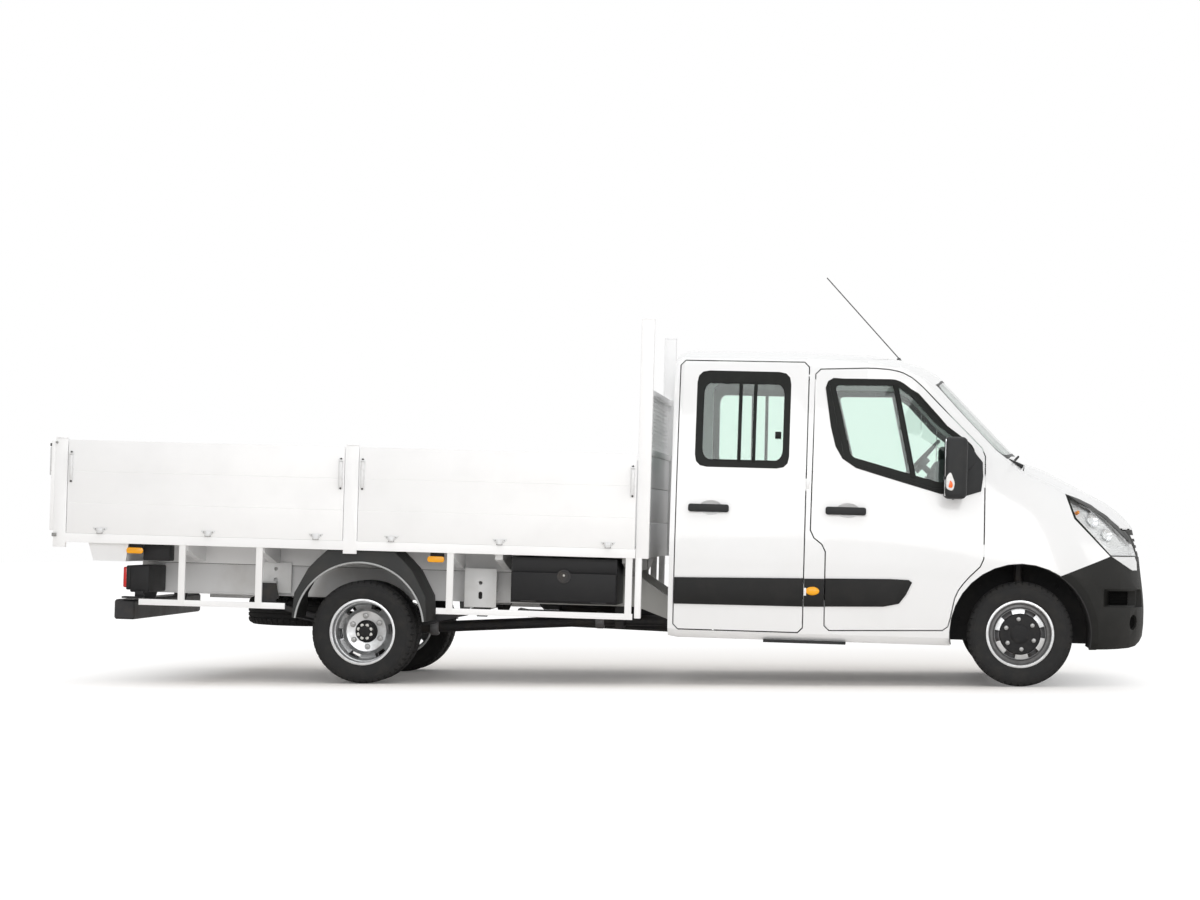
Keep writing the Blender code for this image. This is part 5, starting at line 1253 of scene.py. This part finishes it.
POCKET_LINING = [(4.9036, -0.904), (4.910, -0.823), (4.988, -0.7235), (5.0425, -0.613), (5.0405, -0.611),
                 (4.986, -0.720), (4.908, -0.822), (4.9016, -0.904)]
vanes = []
for side in (1, -1):
    for outline, span in ((POCKET, (0.655, 0.772)), (SLOT, (0.666, 0.760))):
        moulding = cut(moulding, plate([(x, side * y) for x, y in outline], span, "Z"))
    out, spot = Vector((FOG_OUT.x, side * FOG_OUT.y, 0)), Vector((FOG.x, side * FOG.y, FOG.z))
    moulding = cut(moulding, bar(spot - out * 0.030, spot + out * 0.20, 0.050, 48))
    vanes += [plate([(x, side * y) for x, y in POCKET_VANE], (z, z + 0.005), "Z")
              for z in (0.682, 0.700, 0.718, 0.736)]
    # The pocket's back wall: a near-black sheet of painted shade.
    vanes.append(plate([(x, side * y) for x, y in POCKET_LINING], (0.6665, 0.7595), "Z"))
    vanes.append(bar(spot - out * 0.0295, spot - out * 0.022, 0.044, 48, 0.040, edge=0.001))
dressed(rounded_edges(moulding, 0.003, 2, 40), "front_bumper", BUMPER_GREY, instead=("front_bumper",),
        slot="black_plastic")
FLARE_GREY = Finish("flare_grey", (0.013, 0.013, 0.012), 0.62, Specular_IOR_Level=0.2)
FLARE_GREY.worn((0.024, 0.023, 0.021), 0.45, 7.0, 0.70)
FLARE_GREY.bump(FLARE_GREY.noise(420.0, 2.0), 0.0007)
LAMP_CLEAR = Finish("lamp_clear", (0.985, 0.99, 0.99), 0.03, IOR=1.30, Transmission_Weight=1.0)
LAMP_CLEAR.set("Roughness", LAMP_CLEAR.ramp(LAMP_CLEAR.noise(7.0), 0.5, 0.8) * 0.04 + 0.02)
BUCKET = Finish("lamp_bucket", (0.88, 0.89, 0.89), 0.34)
BUCKET.bump(BUCKET.axis("Z").wave(0.012), 0.0015)
CHROME = Finish("lamp_chrome", (0.74, 0.75, 0.76), 0.20, 0.9)
CHROME.worn((0.62, 0.63, 0.64), 0.4, 30.0, 0.28)
AMBER_BULB = Finish("amber_bulb", (0.95, 0.30, 0.01), 0.15, Coat_Weight=1.0)
AMBER_BULB.bump(AMBER_BULB.axis("Z").wave(0.004), 0.0006)
# Near-black, with hardly any sheen, for the pocket vanes, the pocket's back wall and the fog recess blanks: black
# plastic, darkened further as painted shade for the depth of the recesses.
POCKET_SHADE = Finish("pocket_painted_shade", (0.003, 0.003, 0.003), 0.85, Specular_IOR_Level=0.05)
POCKET_SHADE.bump(POCKET_SHADE.noise(300.0), 0.0005)
dressed(together(vanes), "bumper_vanes", POCKET_SHADE, slot="black_plastic")
FLARE_ZONE = ((4.480, 0.320), (4.860, 0.320), (4.860, 0.940), (4.480, 0.800))
flare = keep(outer_only(skin("front_bumper", FLARE_ZONE, 0.004, (0.2, -1, 0), 0.0), 0.60),
             bar((4.330, -1.2, 0.4635), (4.330, -0.5, 0.4635), 0.508, 96))
pair(flare, "bumper_flare", FLARE_GREY, slot="black_plastic")


def lamp_faces(face):
    """The lamp's outer skin, whose faces look forward, up or out."""
    return face.normal.dot(Vector((0.62, -0.62, 0.48))) > 0.50


def lamp_sheet(thickness, offset):
    """The lamp's outer skin as a sheet, thickened inwards at -1 and outwards at 1."""
    sheet = solid_copy("headlamp_right")
    choose(sheet, lambda face: not lamp_faces(face))
    bpy.ops.mesh.delete(type="FACE")
    bpy.ops.object.mode_set(mode="OBJECT")
    return modified(sheet, "SOLIDIFY", thickness=thickness, offset=offset)


bucket = solid_copy("headlamp_right")
choose(bucket, lamp_faces)
bpy.ops.mesh.extrude_region_shrink_fatten(TRANSFORM_OT_shrink_fatten={"value": -0.030})
bpy.ops.object.mode_set(mode="OBJECT")
pair(lamp_sheet(0.004, -1.0), "headlamp_cover", LAMP_CLEAR, instead=("headlamp",), slot="lamp_lens")
pair(bucket, "headlamp_bucket", BUCKET, slot="dark_trim")
LAMP_CLEAR_PART = ((4.628, 1.360), (4.677, 1.233), (4.910, 0.992), (5.290, 0.992), (5.290, 1.020),
                   (5.060, 1.072), (4.984, 1.136), (4.895, 1.214), (4.799, 1.284), (4.704, 1.330))
pair(cut(lamp_sheet(0.0025, 1.0), plate(LAMP_CLEAR_PART, (-1.4, -0.4))), "headlamp_seal", RUBBER_SEAL,
     slot="black_plastic")
LAMP_TAIL = Finish("lamp_tail", (0.80, 0.81, 0.81), 0.10, Coat_Weight=1.0, Coat_Roughness=0.03)
LAMP_TAIL.bump(LAMP_TAIL.axis("Z").wave(0.012), 0.0006)
TAIL_ZONE = ((4.906, 0.990), (5.060, 0.896), (5.300, 0.896), (5.300, 0.990))
pair(outer_only(skin("front_bumper", TAIL_ZONE, 0.003, (0.6, -0.8, 0), 0.0), 0.56), "headlamp_tail",
     LAMP_TAIL, slot="lamp_lens")


def bowl(centre, facing, radius):
    """A parabolic reflector with its rim, open towards where it faces."""
    profile = [(0.004, 0.0), (radius * 0.5, radius * 0.14), (radius * 0.8, radius * 0.36),
               (radius, radius * 0.60), (radius * 1.06, radius * 0.60), (radius * 0.86, radius * 0.34),
               (radius * 0.54, radius * 0.08), (0.004, -radius * 0.06)]
    piece = turned(profile, (0, 0, 0), 48, "Z")
    turn = Vector((0, 0, 1)).rotation_difference(Vector(facing)).to_matrix().to_4x4()
    piece.data.transform(Matrix.Translation(centre) @ turn)
    return piece


RIGHT_OUT = Vector((0.62, -0.70, 0.36)).normalized()
BOWLS = [bowl((4.770, -0.812, 1.212), RIGHT_OUT, 0.046), bowl((4.868, -0.782, 1.118), RIGHT_OUT, 0.042)]
pair(together(BOWLS), "headlamp_bowls", CHROME, slot="silver_wheel")
BULB_FOOT = Vector((4.680, -0.842, 1.262))
BULB = bar(BULB_FOOT, BULB_FOOT + RIGHT_OUT * 0.024, 0.014, 24, 0.011, edge=0.003)
pair(BULB, "signal_bulb", AMBER_BULB, slot="lamp_lens")


# Wheel arch liners.
# Black felted plastic, vacuum-formed to the arch and pushed up under the wing with plastic studs.
LINER = Finish("liner_black", (0.018, 0.018, 0.019), 0.88)
LINER.worn((0.045, 0.042, 0.038), 0.5, 8.0, 0.95)
LINER.bump(LINER.noise(150.0), 0.0015)
ARCH_ROUND, ARCH_SKIN = 0.4595, 0.006
arch_spot = RAKED.inverted() @ (FRONT_WHEEL + Vector((AXLE.x, 0, 0)))
LINER_BAND = [(ARCH_ROUND, -1.002), (ARCH_ROUND, -0.5506), (ARCH_ROUND - ARCH_SKIN, -0.5506),
              (ARCH_ROUND - ARCH_SKIN, -1.002)]
wrap = turned(LINER_BAND, (arch_spot.x, 0, arch_spot.z), 96, angle=200, start=10)
wall = bar((arch_spot.x, -0.5570, arch_spot.z), (arch_spot.x, -0.5506, arch_spot.z), ARCH_ROUND, 96)
wall = cut(wall, block((3.0, 6.0), (-1.0, 0.0), (0.0, 0.40)))
stud = turned([(0.0, -0.560), (0.011, -0.560), (0.008, -0.566), (0.0, -0.567)], (0, 0, 0), 20)
STUD_ANGLES = [math.radians(angle) for angle in (12, 50, 90, 130, 168)]
studs = row(stud, [(arch_spot.x + 0.40 * math.cos(a), 0.0, arch_spot.z + 0.40 * math.sin(a))
                   for a in STUD_ANGLES])
pair(together([wrap, wall, studs]), "arch_liner", LINER, slot="black_plastic")


# Cabin.
# Moulded dashboard and column in charcoal plastic, a rim-wrapped steering wheel, and cloth seats with
# foam cushions: one for the driver, a double beside it and a bench behind.
DASH_PLASTIC = Finish("dash_charcoal", (0.045, 0.046, 0.049), 0.66)
DASH_PLASTIC.worn((0.060, 0.060, 0.060), 0.3, 6.0, 0.75)
DASH_PLASTIC.bump(DASH_PLASTIC.noise(700.0, 2.0), 0.0005)
WHEEL_GRAIN = Finish("wheel_grain", (0.028, 0.028, 0.030), 0.5)
WHEEL_GRAIN.bump(WHEEL_GRAIN.noise(900.0, 2.0), 0.0005)
WHEEL_GRAIN.worn((0.040, 0.039, 0.038), 0.4, 30.0, 0.4)
repaint("dashboard", DASH_PLASTIC)
repaint("steering_wheel", WHEEL_GRAIN)


def seat_cloth():
    """Woven charcoal cloth, with a fine over-and-under weave and a paler fleck."""
    finish = Finish("seat_cloth", (0.060, 0.061, 0.066), 0.92, Sheen_Weight=0.25)
    warp, weft = finish.axis("Y").wave(0.0030), (finish.axis("X") + finish.axis("Z")).wave(0.0030)
    fleck = finish.ramp(finish.noise(140.0, 2.0), 0.55, 0.75) * 0.6
    finish.set("Base Color", finish.mixed(fleck, (0.050, 0.051, 0.056), (0.125, 0.127, 0.135)))
    finish.bump(warp * weft, 0.0008)
    return finish


CLOTH = seat_cloth()
FLOOR = 0.6453


def cushion(x, y, z, crown, rows=3):
    """A crowned foam cushion with sewn channels, subdivided from a block pinched at its corners."""
    piece = block(x, y, z)
    only(piece)
    bpy.ops.object.mode_set(mode="EDIT")
    bpy.ops.mesh.select_all(action="SELECT")
    bpy.ops.mesh.subdivide(number_cuts=9)
    bpy.ops.object.mode_set(mode="OBJECT")
    middle = Vector(((x[0] + x[1]) / 2, (y[0] + y[1]) / 2, (z[0] + z[1]) / 2))
    half = Vector((abs(x[1] - x[0]) / 2, abs(y[1] - y[0]) / 2, abs(z[1] - z[0]) / 2))
    for vertex in piece.data.vertices:
        u, v, w = ((vertex.co[i] - middle[i]) / half[i] for i in range(3))
        vertex.co.x -= half.x * 0.06 * u * (abs(v) ** 4 + abs(w) ** 4)
        vertex.co.y -= half.y * 0.04 * v * (abs(u) ** 4 + abs(w) ** 4)
        vertex.co.z -= half.z * 0.22 * w * (abs(u) ** 4 + abs(v) ** 4)
        channel = max(0.0, 1 - abs(((v * rows + rows) % 2.0) - 1.0) * 9.0) if abs(v) < 0.97 else 0.0
        vertex.co.z -= (crown * 0.35 * channel) if w > 0.9 else 0.0
    return modified(piece, "SUBSURF", levels=2, render_levels=2)


def seat(label, x, y, width):
    """Base cushion, raked back and restraints of one seat."""
    low, high = y - width / 2 + 0.006, y + width / 2 - 0.006
    base = cushion((x - 0.215, x + 0.255), (low, high), (FLOOR + 0.195, FLOOR + 0.345), 0.020)
    back = cushion((-0.205, 0.205), (low, high), (-0.055, 0.055), 0.020)
    lean = Matrix.Translation((x - 0.195, 0, FLOOR + 0.515)) @ Matrix.Rotation(math.radians(-79), 4, "Y")
    back.data.transform(lean)
    count = max(1, round(width / 0.48))
    rests = []
    for i in range(count):
        middle = y - width / 2 + width * (i + 0.5) / count
        rests.append(cushion((x - 0.300, x - 0.222), (middle - 0.118, middle + 0.118),
                             (FLOOR + 0.735, FLOOR + 0.862), 0.0, 1))
        rests += [bar((x - 0.262, middle + dy, FLOOR + 0.66), (x - 0.262, middle + dy, FLOOR + 0.76), 0.006,
                      12)
                  for dy in (-0.05, 0.05)]
    piece = dressed(together([base, back] + rests), f"seat_{label}", CLOTH, slot="seat_cloth", angle=60)
    return piece


PLINTHS = []
for x, node, places in ((3.180, "front_seats", (("driver", -0.440, 0.48), ("pair", 0.330, 0.90))),
                        (2.420, "rear_bench", (("bench", 0.0, 1.50),))):
    made = [seat(label, x, y, width) for label, y, width in places]
    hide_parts(node)
    PLINTHS.append(block((x - 0.178, x + 0.218), (-0.718, 0.718), (FLOOR, FLOOR + 0.200), 0.010))
dressed(together(PLINTHS), "seat_plinths", DASH_PLASTIC, slot="dark_trim")


# Mirrors and aerial.
# Tall moulded door mirrors on short arms, each with two glasses in its rear face and a white and amber
# repeater let into its outer side; a thin sprung aerial stands at the front of the roof.
MIRROR_GLASS = Finish("mirror_glass", (0.80, 0.82, 0.83), 0.03, 1.0)
MIRROR_GLASS.worn((0.72, 0.74, 0.75), 0.3, 12.0, 0.08)
shell = block((3.805, 3.955), (-1.296, -1.075), (1.330, 1.730), 0.036, 6)
shell = cut(shell, block((3.70, 3.816), (-1.286, -1.090), (1.470, 1.716), 0.020, 3),
            block((3.70, 3.816), (-1.286, -1.090), (1.345, 1.456), 0.020, 3))
arm = pipe([(3.90, -0.935, 1.405), (3.90, -1.02, 1.415), (3.885, -1.090, 1.440)], 0.028, sides=5)
foot = turned([(0.0, -0.10), (0.040, -0.10), (0.044, -0.06), (0.036, -0.01), (0.0, -0.01)],
              (3.895, -0.930, 1.405), 32)
pair(together([shell, arm, foot]), "mirror", TRIM, "door_front", ("mirror",), slot="black_plastic")
pair(together([block((3.812, 3.818), (-1.284, -1.092), (1.472, 1.714), 0.002),
               block((3.812, 3.818), (-1.284, -1.092), (1.347, 1.454), 0.002)]), "mirror_glass", MIRROR_GLASS,
     "door_front", slot="silver_wheel")
REPEATER = plate(softened(((3.822, 1.392), (3.866, 1.378), (3.878, 1.432), (3.848, 1.506), (3.820, 1.470)),
                          0.020),
                 (-1.2985, -1.290), edge=0.002)
WHITE_LENS = lens("white_lens", (0.80, 0.80, 0.79))
pair(REPEATER, "mirror_repeater", WHITE_LENS, "door_front", slot="lamp_lens")
BEAD = plate(softened(((3.834, 1.402), (3.862, 1.398), (3.864, 1.430), (3.846, 1.452)), 0.012),
             (-1.2998, -1.295), edge=0.001)
pair(BEAD, "mirror_signal", lens("signal_lens", (0.95, 0.14, 0.006)), "door_front", slot="lamp_lens")
AERIAL = Finish("aerial_grey", (0.085, 0.085, 0.086), 0.5)
AERIAL.bump(AERIAL.axis("Z").wave(0.004), 0.0004)
AERIAL.worn((0.13, 0.13, 0.13), 0.4, 50.0, 0.65)
repaint("antenna", AERIAL)


# Floor, light and camera.
# A white studio floor that keeps a soft shadow, large soft lamps above and to the sides, and a long lens
# level with the load bed on the right-hand side.
FLOOR_WHITE = (0.95, 0.915, 0.88)
STUDIO = Finish("studio_white", FLOOR_WHITE, 0.6, Specular_IOR_Level=0.1)
camera_ray = STUDIO.node("LightPath")
far = STUDIO.ramp(STUDIO.node("VectorMath", {"operation": "LENGTH"}, {0: STUDIO.place()}, 1), 6.0, 14.0)
behind = STUDIO.ramp(STUDIO.axis("Y"), 1.5, 6.5)
beyond = STUDIO.ramp(STUDIO.axis("X").math("ABSOLUTE"), 2.6, 3.9)
before = STUDIO.ramp(STUDIO.axis("Y") * -1, 1.15, 2.0)
far = 1 - (1 - far) * (1 - behind) * (1 - beyond) * (1 - before)
STUDIO.set("Emission Color", STUDIO.mixed(camera_ray * (far * 0.93 + 0.07), (0.0, 0.0, 0.0), (1.0, 1.0, 1.0)))
STUDIO.set("Emission Strength", 1.0)
STUDIO.set("Base Color", STUDIO.mixed(camera_ray * far, FLOOR_WHITE, (0.0, 0.0, 0.0)))
fresh()
bpy.ops.mesh.primitive_plane_add(size=1.0, location=(0, 0, -0.0005))
bpy.context.object.scale = (120, 120, 1)
floor = settled()
floor.name = "studio_floor"
floor.data.materials.append(STUDIO.material)


def lamp(name, place, aim, size, power):
    """A soft rectangular lamp, aimed at a point."""
    light = bpy.data.lights.new(name, "AREA")
    light.shape = "RECTANGLE"
    light.size, light.size_y = size
    light.energy = power
    made = bpy.data.objects.new(name, light)
    bpy.context.scene.collection.objects.link(made)
    made.location = place
    made.rotation_euler = (Vector(aim) - Vector(place)).to_track_quat("-Z", "Y").to_euler()


lamp("overhead", (0.0, -2.0, 9.0), (0.0, 0.0, 0.0), (14.0, 9.0), 430)
lamp("side_fill", (2.0, -16.0, 5.0), (0.0, 0.0, 1.0), (14.0, 6.0), 700)
lamp("front_fill", (14.0, -6.0, 4.0), (2.0, 0.0, 1.0), (8.0, 5.0), 220)
world = bpy.data.worlds.new("studio")
world.use_nodes = True
bpy.context.scene.world = world
tree = world.node_tree
background = tree.nodes["Background"]
path = tree.nodes.new("ShaderNodeLightPath")
seen = tree.nodes.new("ShaderNodeMath")
seen.operation = "MAXIMUM"
tree.links.new(path.outputs["Is Camera Ray"], seen.inputs[0])
glossy = tree.nodes.new("ShaderNodeMath")
glossy.operation = "MAXIMUM"
tree.links.new(path.outputs["Is Glossy Ray"], glossy.inputs[0])
tree.links.new(path.outputs["Is Transmission Ray"], glossy.inputs[1])
tree.links.new(glossy.outputs[0], seen.inputs[1])
level = tree.nodes.new("ShaderNodeMapRange")
level.inputs["To Min"].default_value = 0.50
level.inputs["To Max"].default_value = 1.0
tree.links.new(seen.outputs[0], level.inputs["Value"])
tree.links.new(level.outputs[0], background.inputs["Strength"])
background.inputs["Color"].default_value = (1.0, 1.0, 1.0, 1.0)
bpy.context.scene.view_settings.view_transform = "Standard"

VIEW_POINT, LOOK_UP, LOOK_LEFT = (1.93809, -20.116, 1.046), 0.02616, 0.09758
camera = bpy.data.objects.new("camera", bpy.data.cameras.new("camera"))
bpy.context.scene.collection.objects.link(camera)
camera.data.lens = 87.34
camera.data.clip_end = 300.0
camera.location = VIEW_POINT
camera.rotation_euler = (math.pi / 2 + LOOK_UP, 0.0, LOOK_LEFT)
bpy.context.scene.camera = camera
